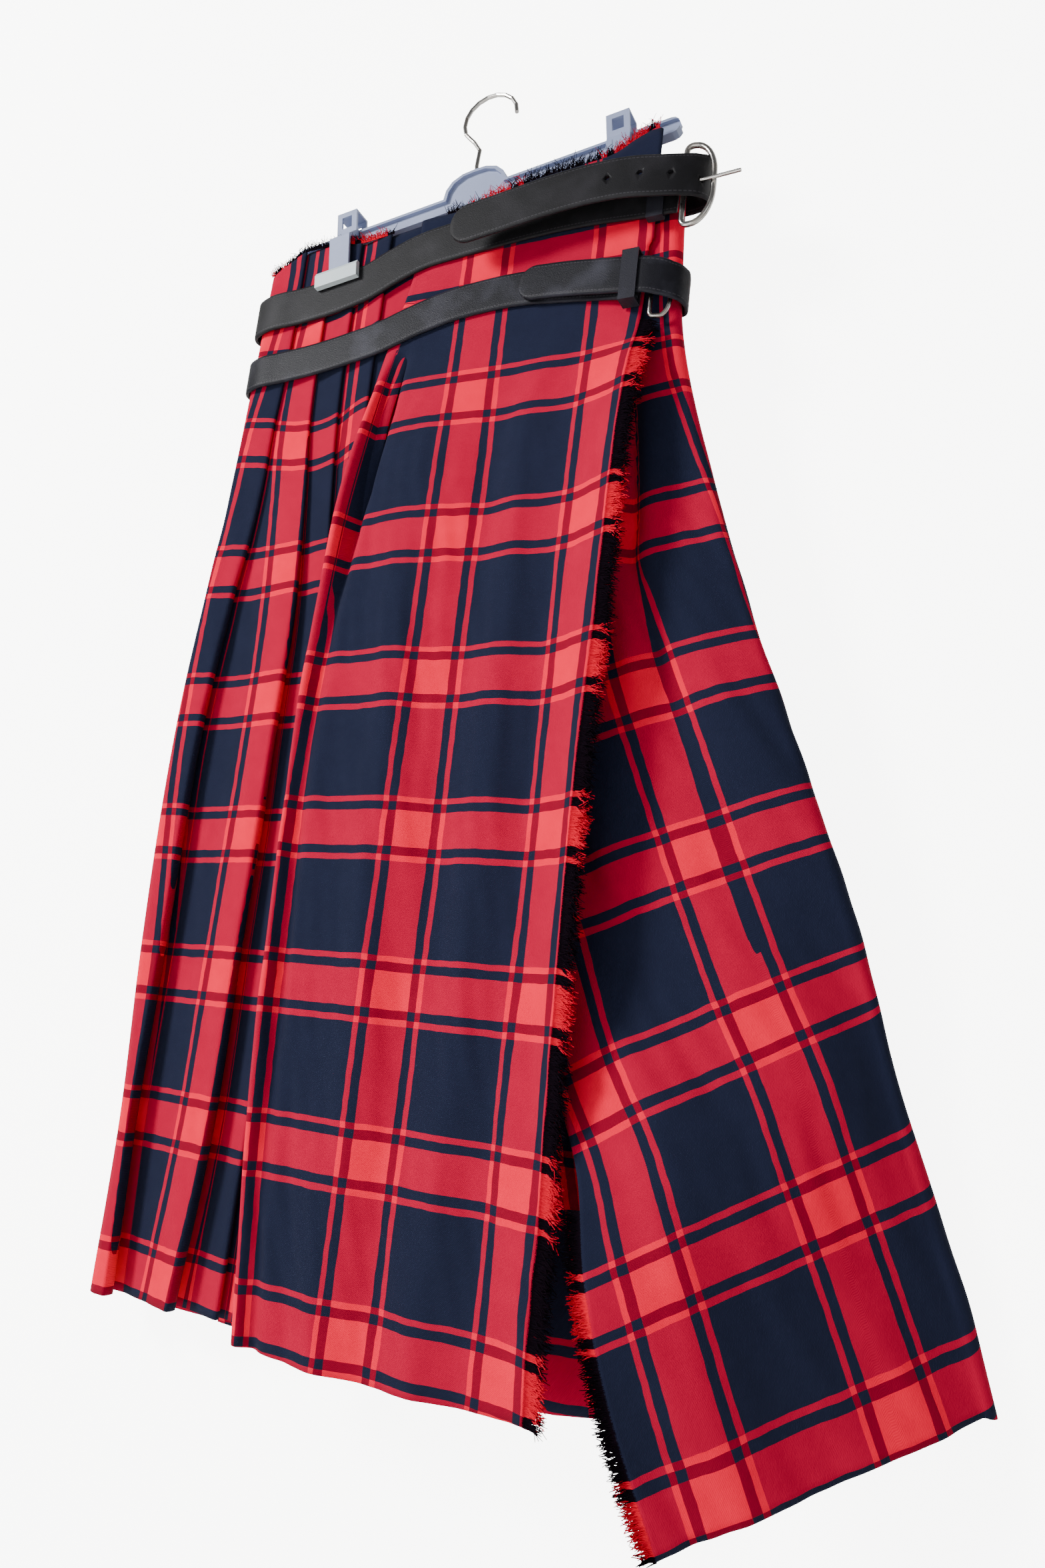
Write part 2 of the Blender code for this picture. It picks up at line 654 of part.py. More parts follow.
def prism(name, outline, low, high, surface, place):
    # An outline of (a, b) pairs carried from low to high, each corner placed by place(a, b, c).
    bm = bmesh.new()
    near = [bm.verts.new(place(a, b, low)) for a, b in outline]
    far = [bm.verts.new(place(a, b, high)) for a, b in outline]
    bm.faces.new(near)
    bm.faces.new(list(reversed(far)))
    for k in range(len(outline)):
        n = (k + 1) % len(outline)
        bm.faces.new((near[k], far[k], far[n], near[n]))
    return finish(name, bm, surface)


def bar_outline(grow=0.0):
    # Bar with round ends and a round hump in the middle, seen from the front.
    half = BAR_TALL / 2 + grow
    out = []
    for k in range(7):
        angle = math.radians(-90 + 30 * k)
        out.append((BAR_HALF - half + half * math.cos(angle), half * math.sin(angle)))
    for a, b in ((27, 6.5), (24.5, 14), (19, 20), (10, 23.5), (0, 24), (-10, 23.5), (-19, 20),
                 (-24.5, 14), (-27, 6.5)):
        out.append((a * MM * (1 + grow / (25 * MM)), b * MM + grow))
    for k in range(7):
        angle = math.radians(90 + 30 * k)
        out.append((-BAR_HALF + half + half * math.cos(angle), half * math.sin(angle)))
    return out


def make_hanger(plastic, pale, steel):
    place = lambda a, b, c: hanger_place(a, c, b)
    bar = prism("hanger_bar", bar_outline(), -BAR_DEEP / 2, BAR_DEEP / 2, plastic, place)
    for i, side in enumerate((-1, 1)):
        web = prism("web_cut_%d" % i, bar_outline(-2.2 * MM), side * 1.2 * MM, side * (BAR_DEEP), plastic,
                    place)
        web.hide_render = True
        web.display_type = "WIRE"
        cut(bar, web)
    bar.modifiers.new("flat_triangles", "TRIANGULATE")
    hook_points = []
    for rise in (24.4, 30.0):
        hook_points.append(hanger_place(0, 0, rise * MM))
    for x, z in ((-5, -46), (-10.5, -38), (-17, -31)):
        hook_points.append(Vector((x, 0, z)) * MM)
    for k in range(11):
        angle = math.radians(205 - 20.5 * k)
        hook_points.append(Vector((22.5 * math.cos(angle) + 1.0, 0, 20.9 * math.sin(angle) - 19.3)) * MM)
    tube("hanger_hook", hook_points, HOOK_WIRE, steel, sides=3)
    make_clip("clip_left", -CLIP_OFFSET, (-15.5, 11.0), ((-17.3, 11.0), (-21.7, 14.6)), plastic, pale)
    make_clip("clip_right", CLIP_OFFSET + 6 * MM, (-8.6, 11.0), ((-8.0, 11.0), (-11.8, 14.6)),
              plastic, pale)


def make_clip(name, along, legs, jaws, plastic, pale):
    # Over the bar like a saddle, with a window above it, and two legs down to the jaws.
    front, rear = legs
    profile = [(-8, 24), (8, 24), (8, 0), (rear + 2.2, -20), (rear + 2.2, -36), (rear, -36),
               (rear, -20), (4.4, -1), (4.4, 7), (6, 9), (6, 22), (-6, 22), (-6, 9), (-4.4, 7),
               (-4.4, 1), (front, -7), (front, -36),
               (front - 2.2, -36), (front - 2.2, -6), (-8, 4)]
    place = lambda a, b, c: hanger_place(along + c, a, b)
    outline = [(a * MM, b * MM) for a, b in profile]
    body = prism(name + "_body", outline, -9 * MM, 9 * MM, plastic, place)
    window = prism(name + "_window", [(-12 * MM, 9 * MM), (12 * MM, 9 * MM), (12 * MM, 19.5 * MM),
                                      (-12 * MM, 19.5 * MM)], -4.5 * MM, 4.5 * MM, plastic, place)
    window.hide_render = True
    window.display_type = "WIRE"
    cut(body, window)
    for end, near, far in zip(("_front_jaw", "_rear_jaw"), jaws[0], jaws[1]):
        slope = near + (far - near) * 0.6
        jaw = [(near, -36.3), (near, -50), (far, -50), (far, -39.5), (slope, -36.3)]
        prism(name + end, [(a * MM, b * MM) for a, b in jaw], -19 * MM, 19 * MM, pale, place)


def main():
    for old in list(bpy.data.objects):
        bpy.data.objects.remove(old)
    check = material("check_cotton", (0.32, 0.03, 0.06), 0.9)
    yarn = material("loose_yarn", (0.03, 0.03, 0.05), 0.95)
    leather = material("black_leather", (0.03, 0.03, 0.035), 0.45)
    steel = material("nickel_steel", (0.75, 0.75, 0.76), 0.25, 1.0)
    plastic = material("grey_plastic", (0.42, 0.45, 0.55), 0.5)
    pale = material("pale_plastic", (0.75, 0.77, 0.78), 0.5)
    apron = [apron_row(v) for v in CLOTH_ROWS]
    rows = {
        "front_apron": [row[5:] for row in apron],
        "front_apron_fold": [fold_part(row) for row in apron],
        "left_pleats": [left_pleats_row(v) for v in CLOTH_ROWS],
        "back_pleats": [back_row(v) for v in CLOTH_ROWS],
        "under_apron": [under_apron_row(v) for v in CLOTH_ROWS],
    }
    for name, cloth_rows in rows.items():
        wall(name, cloth_rows, check)
    make_fringes(rows, yarn)
    make_belts(leather, steel)
    make_hanger(plastic, pale, steel)


main()
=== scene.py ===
import math
import random

import bmesh
import bpy
import numpy as np
from mathutils import Matrix, Vector


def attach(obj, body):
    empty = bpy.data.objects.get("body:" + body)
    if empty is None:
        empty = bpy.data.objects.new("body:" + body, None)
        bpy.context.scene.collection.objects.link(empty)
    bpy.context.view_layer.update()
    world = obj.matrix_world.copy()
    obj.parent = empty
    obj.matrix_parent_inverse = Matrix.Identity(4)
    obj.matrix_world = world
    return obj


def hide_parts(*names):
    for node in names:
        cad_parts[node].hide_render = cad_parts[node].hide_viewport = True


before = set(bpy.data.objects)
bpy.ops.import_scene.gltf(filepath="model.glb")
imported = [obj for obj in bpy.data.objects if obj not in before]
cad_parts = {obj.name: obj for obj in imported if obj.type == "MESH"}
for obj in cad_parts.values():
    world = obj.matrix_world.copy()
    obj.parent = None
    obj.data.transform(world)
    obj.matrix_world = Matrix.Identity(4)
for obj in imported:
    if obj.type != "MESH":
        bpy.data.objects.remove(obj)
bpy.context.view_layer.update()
mm = 0.001
print("frame loaded:", len(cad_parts), "nodes")


# Shapes shared with the solids.
def table(names, *rows):
    grid = np.array(rows, dtype=float)
    return {name: grid[:, column] for column, name in enumerate(names.split())}


def smooth(at, stations, values):
    slopes = np.gradient(values, stations)
    i = int(np.clip(np.searchsorted(stations, at) - 1, 0, len(stations) - 2))
    span = stations[i + 1] - stations[i]
    t = min(max((at - stations[i]) / span, 0.0), 1.0)
    return ((1 + 2 * t) * (1 - t) ** 2 * values[i] + t * (1 - t) ** 2 * span * slopes[i]
            + t * t * (3 - 2 * t) * values[i + 1] + t * t * (t - 1) * span * slopes[i + 1])


def read(source, name, at):
    return smooth(at, source["v"], source[name])


# v runs from the raw top edge (0) to the hem (1); the rest is in millimetres
front = table(
    "v     z     leftX  e1    e2    e3    e4   pleatY  apronX  apronY  step  curl",
    (0.00, -116, -181, -147, -119, -93, -66, -12.6, -40, -12.6, 1.7, 0),
    (0.06, -153, -182, -147, -119, -93, -66, -12.6, -40, -12.6, 1.7, 0),
    (0.15, -226, -184, -149, -119, -93, -66, -12.4, -57, -12.6, 1.7, 0),
    (0.20, -268, -188, -155, -120, -94, -68, -9.0, -66, -13.0, 1.9, 14),
    (0.26, -318, -196, -163, -120, -95, -72, -2.0, -75, -14.0, 2.2, 22),
    (0.36, -400, -211, -181, -120, -96, -78, 5.0, -83, -15.0, 2.7, 25),
    (0.50, -512, -223, -194, -123, -99, -78, 8.5, -87, -15.5, 3.2, 25),
    (0.70, -673, -222, -197, -126, -100, -76, 10.0, -83, -14.5, 3.8, 24),
    (0.84, -784, -217, -199, -128, -101, -74, 11.5, -77, -13.5, 4.2, 20),
    (1.00, -914, -218, -196, -139, -104, -72, 13.0, -64, -12.6, 4.5, 10))
side = table(
    "v     rightX rightY rightZ turn  freeX freeY freeZ",
    (0.00, 166, -0.8, -104, 6.2, -40, -7.0, -118),
    (0.08, 169, -0.8, -170, 6.2, -37, -7.0, -182),
    (0.16, 173, -0.5, -228, 6.2, -26, -6.5, -246),
    (0.30, 204, -2.0, -344, 6.4, 10, -3.0, -380),
    (0.43, 240, 0.0, -444, 6.5, 48, -1.0, -496),
    (0.565, 277, 8.0, -546, 6.5, 97, -2.0, -612),
    (0.64, 295, 15.0, -599, 6.5, 122, -6.0, -677),
    (0.70, 309, 22.0, -641, 6.5, 143, -17.0, -729),
    (0.76, 323, 28.5, -684, 6.5, 169, -33.0, -776),
    (0.83, 339, 36.0, -738, 6.5, 190, -60.0, -827),
    (0.92, 363, 43.0, -806, 6.5, 212, -62.0, -888),
    (1.00, 385, 47.0, -872, 6.5, 237, -50.0, -949))
topEdge = table(
    "v     rise",
    (-181, -16), (-160, -3), (-143, 4), (-104, 1), (-85, -1), (-45, 6), (0, 8), (50, 19),
    (93, 23), (116, 26), (137, 36), (150, 38), (163, 18), (175, 10))
apronFolds = table(
    "topX  hemX  halfWidth  top   hem",
    (-20, 2, 22, 3.0, 7.0), (52, 30, 18, -2.0, -4.0), (78, 70, 16, 2.5, 5.0))
apronRidge = table(
    "v     ridge valley reach column",
    (0.0, 0, 0, 31, 0.20), (0.10, 0, 0, 31, 0.20), (0.14, 0.4, 0.5, 31, 0.20), (0.16, 3, 4, 31, 0.20),
    (0.19, 6, 10, 31, 0.19), (0.24, 8, 14, 31, 0.19), (0.30, 7, 12, 44, 0.20), (0.38, 5, 7, 60, 0.235),
    (0.46, 5, 5, 72, 0.255), (0.55, 5, 5, 80, 0.265), (0.70, 5, 5, 80, 0.27), (0.85, 5, 4, 76, 0.27),
    (1.0, 4, 4, 66, 0.28))
flapFolds = table(
    "share  halfWidth  vMid  vReach  depth",
    (0.00, 0.035, 0.33, 0.13, 7.0), (0.08, 0.06, 0.34, 0.13, -5.0), (0.70, 0.12, 0.85, 0.20, -6.0),
    (0.15, 0.10, 0.60, 0.25, -3.0))
backInner = table("v y", (0.0, 2.6), (0.11, 2.6), (0.18, 2.7), (0.4, 22.0), (0.7, 36.0), (1.0, 42.0))
backHem = table("v z", (-218, -914), (-60, -922), (60, -926), (160, -922), (260, -905), (340, -884),
                (385, -872))
flapBowAt = np.array([0, 0.16, 0.3, 0.5, 0.7, 1.0])
flapBow = np.array([0.0, 0.0, 5.0, 9.0, 8.0, 5.0])

cloth = {"thick": 0.9 * mm, "repeat": 105.0, "backPleats": 12, "pleatStep": 1.7, "rows": 150,
         "wrinkle": 0.9, "weavePitch": 1.15}


def fade(v, start, end):
    t = np.clip((v - start) / (end - start), 0.0, 1.0)
    return t * t * (3 - 2 * t)


def hangingRow(z):
    # check row of cloth that hangs straight, by its height in millimetres
    return -z / cloth["repeat"] - 0.345


def topRise(x, v):
    return smooth(x, topEdge["v"], topEdge["rise"]) * max(0.0, 1.0 - v / 0.16)


def leftTurn(v):
    near = read(front, "pleatY", v)
    far = backLevel(0.0, v) + 2 * cloth["pleatStep"]
    return (near + far) / 2, (far - near) / 2


def backLevel(share, v):
    left = read(backInner, "y", v)
    right = read(side, "rightY", v) + read(side, "turn", v) - 2 * cloth["pleatStep"]
    return left + (right - left) * share * share * (3 - 2 * share)


def leftArc(v, stops):
    # the kilt's rounded left side, at the given angles
    left, (middle, radius) = read(front, "leftX", v), leftTurn(v)
    angles = [math.radians(degrees) for degrees in stops]
    return [(left + radius + radius * math.cos(a), middle + radius * math.sin(a)) for a in angles]


def leftPleatsRow(v):
    outer, shallow, z = (read(front, n, v) for n in ("pleatY", "step", "z"))
    deep = shallow * (1 + 0.9 * fade(v, 0.18, 0.42) + 0.3 * fade(v, 0.42, 0.6))
    run = leftArc(v, (182, 194, 206, 218, 230, 242, 255))
    returns = 12 if v < 0.2 else 13  # how far each pleat turns back
    for name, sunk, step in (("e1", 0, deep), ("e2", 0, deep), ("e3", 9, shallow), ("e4", 7, shallow)):
        edge, face = read(front, name, v), outer + sunk * fade(v, 0.22, 0.5)
        run += [(edge, face), (edge, face + step), (edge - returns, face + step),
                (edge - returns, face + 2 * step), (edge + 1.5, face + 2 * step)]
    end = read(front, "apronX", v) + 18
    if v > 0.12:
        end = min(end, read(side, "freeX", v) - 5)
    run.append((end, face + 2 * step))
    return [(x, y, z + topRise(x, v)) for x, y in run]


def backRow(v):
    left, turn = read(front, "leftX", v), read(side, "turn", v)
    start, end = left + leftTurn(v)[1], read(side, "rightX", v) - turn
    points = leftArc(v, (178, 166, 154, 142, 130, 118, 105))
    step = cloth["pleatStep"] + 1.6 * max(0.0, v - 0.2)
    spacing = (end - start) / cloth["backPleats"]
    for pleat in range(1, cloth["backPleats"]):
        edge = start + pleat * spacing
        outer = backLevel(pleat / cloth["backPleats"], v) + 2 * cloth["pleatStep"]
        points += [(edge, outer), (edge, outer - step), (edge - 11, outer - step),
                   (edge - 11, outer - 2 * step), (edge + 1.5, outer - 2 * step)]
    outer = backLevel(1.0, v) + 2 * cloth["pleatStep"]
    points += [(end - 4, outer), (end + 0.2 * turn, outer)]
    leftZ, rightZ = read(front, "z", v), read(side, "rightZ", v)
    row = []
    for x, y in points:
        share = min(max((x - left) / (end - left), 0.0), 1.0)
        z = leftZ + (rightZ - leftZ) * share ** 1.6
        if v > 0.5:
            z += (smooth(x, backHem["v"], backHem["z"]) + 914 - 42 * share ** 1.6) * (v - 0.5) / 0.5
        if share < 0.97:
            z += 0.3 * topRise(x, v) - 8 * max(0.0, 1 - v / 0.16)
        row.append((x, y, z))
    return row


def apronY(x, v):
    y = read(front, "apronY", v)
    loose = min(max((v - 0.15) / 0.11, 0.0), 1.0)
    centre = apronFolds["topX"] * (1 - v) + apronFolds["hemX"] * v
    depth = apronFolds["top"] * (1 - v) + apronFolds["hem"] * v
    y -= loose * np.sum(depth * np.exp(-((x - centre) / apronFolds["halfWidth"]) ** 2))
    return y - read(front, "curl", v) * max(0.0, (x - 100) / 48) ** 1.5


ridgeShape = {"peakAt": 7.5, "peakWidth": 4.3, "dipAt": 17.5, "dipWidth": 6}


def ridgeDepth(reach, v):
    # how far the cloth by the apron's left fold stands out (+) or sinks in (-)
    peak = math.exp(-((reach - ridgeShape["peakAt"]) / ridgeShape["peakWidth"]) ** 2)
    dip = math.exp(-((reach - ridgeShape["dipAt"]) / ridgeShape["dipWidth"]) ** 2)
    return read(apronRidge, "ridge", v) * peak - read(apronRidge, "valley", v) * dip


def apronRow(v):
    left, z = read(front, "apronX", v), read(front, "z", v)
    right = 148 + (3 if v < 0.1 else 0)
    near = apronY(left + 6, v)
    openBy = 1.7 + 9.0 * min(max((v - 0.16) / 0.2, 0.0), 1.0)
    back = near + openBy
    inner = max(back, read(front, "pleatY", v) - 0.2 * openBy) if v > 0.2 else back
    run = [(left + 22, inner), (left + 12, (inner + back) / 2), (left + 5, back)]
    for k in range(1, 6):  # the rolled left fold
        angle = math.radians(90 + 36 * k - 18)
        run.append((left + 5 + 4.6 * math.cos(angle), near + openBy / 2 + openBy / 2 * math.sin(angle)))
    run.append((left + 5, near))
    for i in range(1, 101):
        x = left + 5 + (right - left - 5) * (i / 100) * (0.35 + 0.65 * i / 100)
        run.append((x, apronY(x, v)))
    for i in range(3, len(run)):  # a rolled ridge with a deep valley on its right
        x, y = run[i]
        gain = min(1.0, (i - 2) / 5)
        run[i] = (x, y - gain * ridgeDepth(x - left, v))
    sag = [-4 * v ** 3 * math.sin(math.pi * min(max((x + 64) / 212, 0.0), 1.0)) for x, y in run]
    return [(x, y, z + topRise(x, v) + s) for (x, y), s in zip(run, sag)]


def underApronRow(v):
    edge = Vector([read(side, n, v) for n in ("rightX", "rightY", "rightZ")])
    free = Vector([read(side, n, v) for n in ("freeX", "freeY", "freeZ")])
    turn = read(side, "turn", v)
    start = edge + Vector((-turn, -turn, 0))
    run = []
    # the first two folds lie along the crease
    middle = flapFolds["share"] + (1 - read(flap, "crease", v)) * np.array([1, 1, 0, 0])
    depth = flapFolds["depth"] * np.exp(-((v - flapFolds["vMid"]) / flapFolds["vReach"]) ** 2)
    for i in range(73):
        share = 1 - i / 72  # from the free edge (1) to the side (0)
        point = start.lerp(free, share)
        point.y -= 4 * share * (1 - share) * smooth(v, flapBowAt, flapBow)
        point.y += np.sum(depth * np.exp(-((share - middle) / flapFolds["halfWidth"]) ** 2))
        run.append(tuple(point))
    for degrees in (-74, -58, -42, -26, -10, 8, 26, 44, 64):
        angle = math.radians(degrees)
        run.append((edge.x - turn + turn * math.cos(angle), edge.y + turn * math.sin(angle), edge.z))
    return run


# Colours and finishes.
def linear(*screen):
    # a screen colour (0 to 255) as linear light
    return (*(c / 255 / 12.92 if c <= 10 else ((c / 255 + 0.055) / 1.055) ** 2.4 for c in screen), 1.0)


def newGroup(name, inputs, outputs):
    group = bpy.data.node_groups.new(name, "ShaderNodeTree")
    for label, kind, value in inputs:
        socket = group.interface.new_socket(label, in_out="INPUT", socket_type=kind)
        if value is not None:
            socket.default_value = value
    for label, kind in outputs:
        group.interface.new_socket(label, in_out="OUTPUT", socket_type=kind)
    start = group.nodes.new("NodeGroupInput")
    end = group.nodes.new("NodeGroupOutput")
    return group, start, end


def setInput(tree, socket, value):
    # a number, a colour or another node's output
    if isinstance(value, (int, float, tuple)):
        socket.default_value = value
    elif value is not None:
        tree.links.new(value, socket)


def addMath(tree, operation, a, b=None, c=None, clamp=False):
    node = tree.nodes.new("ShaderNodeMath")
    node.operation = operation
    node.use_clamp = clamp
    for slot, value in enumerate((a, b, c)):
        setInput(tree, node.inputs[slot], value)
    return node.outputs[0]


def addMix(tree, factor, a, b, blend="MIX"):
    node = tree.nodes.new("ShaderNodeMix")
    node.data_type = "RGBA"
    node.blend_type = blend
    for slot, value in ((0, factor), (6, a), (7, b)):
        setInput(tree, node.inputs[slot], value)
    return node.outputs[2]


def addNoise(tree, vector, scale, detail=2.0, rough=0.5):
    node = tree.nodes.new("ShaderNodeTexNoise")
    for label, value in (("Vector", vector), ("Scale", scale), ("Detail", detail), ("Roughness", rough)):
        setInput(tree, node.inputs[label], value)
    return node.outputs["Fac"]


def uvOf(tree, name):
    node = tree.nodes.new("ShaderNodeUVMap")
    node.uv_map = name
    return node.outputs[0]


def placeOf(tree):
    return tree.nodes.new("ShaderNodeTexCoord").outputs["Object"]


def splitOf(tree, vector):
    node = tree.nodes.new("ShaderNodeSeparateXYZ")
    tree.links.new(vector, node.inputs[0])
    return node.outputs


def useGroup(tree, group, **values):
    node = tree.nodes.new("ShaderNodeGroup")
    node.node_tree = group
    for label, value in values.items():
        setInput(tree, node.inputs[label], value)
    return node


sett = {  # share of one repeat where each stripe starts, and what it is
    "stops": ((0.0, "red"), (0.019, "thin"), (0.074, "red"), (0.304, "thin"), (0.359, "red"),
              (0.397, "navy"), (0.981, "red")),
    "navy": (0.011, 0.014, 0.034, 1), "mid": (0.46, 0.001, 0.034, 1), "dark": (0.26, 0.001, 0.02, 1),
    "bright": (0.94, 0.0, 0.04, 1)}


def makeStripeGroup():
    group, start, end = newGroup("settStripe", [("Coordinate", "NodeSocketFloat", 0.0)],
                                 [("Red", "NodeSocketFloat"), ("Thin", "NodeSocketFloat")])
    part = addMath(group, "FRACT", addMath(group, "ADD", start.outputs[0], 40.0))
    ramp = group.nodes.new("ShaderNodeValToRGB")
    ramp.color_ramp.interpolation = "CONSTANT"
    codes = {"red": (1, 0, 0, 1), "thin": (0, 1, 0, 1), "navy": (0, 0, 0, 1)}
    stops = ramp.color_ramp.elements
    while len(stops) < len(sett["stops"]):
        stops.new(0.5)
    for i, (at, kind) in enumerate(sett["stops"]):
        stops[i].position = at
        stops[i].color = codes[kind]
    group.links.new(part, ramp.inputs[0])
    split = group.nodes.new("ShaderNodeSeparateColor")
    group.links.new(ramp.outputs[0], split.inputs[0])
    group.links.new(split.outputs[0], end.inputs["Red"])
    group.links.new(split.outputs[1], end.inputs["Thin"])
    return group


weave = {"waverScale": 9.0, "waver": 0.012, "threadScale": 260.0, "thread": 0.35, "patchScale": 5.0,
         "patch": 0.28}


def addShift(tree, part, amount, total):
    # adds some of a part whose middle value is 0.5
    return addMath(tree, "MULTIPLY_ADD", addMath(tree, "SUBTRACT", part, 0.5), amount, total)


def makeCheckGroup(stripe):
    # the whole check: both directions woven together, with its twill
    group, start, end = newGroup(
        "wovenCheck",
        [("Coordinates", "NodeSocketVector", None), ("Twill", "NodeSocketFloat", 0.1)],
        [("Color", "NodeSocketColor"), ("Height", "NodeSocketFloat"), ("Red", "NodeSocketFloat")])
    split = splitOf(group, start.outputs[0])
    masks = []
    for axis in (0, 1):
        wave = addNoise(group, start.outputs[0], weave["waverScale"], 1.0)  # stripes aren't quite straight
        shifted = addShift(group, wave, weave["waver"], split[axis])
        masks.append(useGroup(group, stripe, Coordinate=shifted))
    warp, weft = masks
    one = addMath(group, "MAXIMUM", warp.outputs[0], weft.outputs[0])
    both = addMath(group, "MULTIPLY", warp.outputs[0], weft.outputs[0])
    dark = addMath(group, "MAXIMUM", addMath(group, "MULTIPLY", warp.outputs[0], weft.outputs[1]),
                   addMath(group, "MULTIPLY", weft.outputs[0], warp.outputs[1]))
    colour = addMix(group, one, sett["navy"], sett["mid"])
    colour = addMix(group, both, colour, sett["bright"])
    colour = addMix(group, dark, colour, sett["dark"])
    lines = cloth["repeat"] / cloth["weavePitch"]
    diagonal = addMath(group, "ADD", split[0], split[1])
    twill = addMath(group, "PINGPONG", addMath(group, "MULTIPLY", diagonal, lines), 0.5)
    twill = addMath(group, "MULTIPLY", twill, 2.0)
    thread = addNoise(group, start.outputs[0], weave["threadScale"], 2.0, 0.7)
    patch = addNoise(group, start.outputs[0], weave["patchScale"], 3.0, 0.6)
    shade = 1.0
    for part, amount in ((twill, start.outputs[1]), (thread, weave["thread"]), (patch, weave["patch"])):
        shade = addShift(group, part, amount, shade)
    grey = group.nodes.new("ShaderNodeCombineColor")
    for slot in range(3):
        group.links.new(shade, grey.inputs[slot])
    colour = addMix(group, 1.0, colour, grey.outputs[0], "MULTIPLY")
    group.links.new(colour, end.inputs["Color"])
    height = addMath(group, "MULTIPLY_ADD", thread, 0.6, twill)
    group.links.new(height, end.inputs["Height"])
    group.links.new(one, end.inputs["Red"])
    return group


def makeWearGroup():
    # scuffs and rubbed patches, from noise alone
    group, start, end = newGroup(
        "rubbedWear", [("Vector", "NodeSocketVector", None), ("Scale", "NodeSocketFloat", 60.0),
                       ("Amount", "NodeSocketFloat", 0.5)],
        [("Mask", "NodeSocketFloat"), ("Fine", "NodeSocketFloat")])
    big = addNoise(group, start.outputs[0], start.outputs[1], 5.0)
    fine = addNoise(group, start.outputs[0], 1400.0, 3.0, 0.7)
    mask = addMath(group, "SUBTRACT", big, 0.48)
    mask = addMath(group, "MULTIPLY", mask, addMath(group, "MULTIPLY", start.outputs[2], 6.0), clamp=True)
    group.links.new(mask, end.inputs["Mask"])
    group.links.new(fine, end.inputs["Fine"])
    return group


def newMaterial(name, roughness, metallic=0.0, sheen=0.0, specular=0.5):
    made = bpy.data.materials.new(name)
    made.use_nodes = True
    shader = made.node_tree.nodes["Principled BSDF"]
    for label, value in (("Roughness", roughness), ("Metallic", metallic), ("Specular IOR Level", specular),
                         ("Sheen Weight", sheen), ("Sheen Roughness", 0.5)):
        shader.inputs[label].default_value = value
    return made, made.node_tree, shader


def addBump(tree, shader, height, strength, distance):
    bump = tree.nodes.new("ShaderNodeBump")
    bump.inputs["Strength"].default_value = strength
    bump.inputs["Distance"].default_value = distance
    tree.links.new(height, bump.inputs["Height"])
    tree.links.new(bump.outputs[0], shader.inputs["Normal"])


stripeGroup = makeStripeGroup()
checkGroup = makeCheckGroup(stripeGroup)
wearGroup = makeWearGroup()


def makeCheckCloth():
    made, tree, shader = newMaterial("checkCotton", 0.92, sheen=0.02, specular=0.06)
    check = useGroup(tree, checkGroup, Coordinates=uvOf(tree, "clothRuns"), Twill=0.16)
    tree.links.new(check.outputs["Color"], shader.inputs["Base Color"])
    addBump(tree, shader, check.outputs["Height"], 0.35, 0.0003)
    return made


def makeYarn():
    made, tree, shader = newMaterial("looseYarn", 0.95, sheen=0.0, specular=0.02)
    stripe = useGroup(tree, stripeGroup, Coordinate=splitOf(tree, uvOf(tree, "clothRuns"))[0])
    colour = addMix(tree, stripe.outputs[0], (0.003, 0.003, 0.006, 1), (0.8, 0.0, 0.03, 1))
    fuzz = addNoise(tree, placeOf(tree), 900.0, 2.0)
    colour = addMix(tree, addMath(tree, "MULTIPLY", fuzz, 0.2), colour, (0.03, 0.001, 0.004, 1))
    tree.links.new(colour, shader.inputs["Base Color"])
    addBump(tree, shader, fuzz, 0.3, 0.0002)
    return made


stitching = {"fromEdge": 2.6, "halfWidth": 0.42, "perCentimetre": 3.6, "filled": 0.68}  # in millimetres


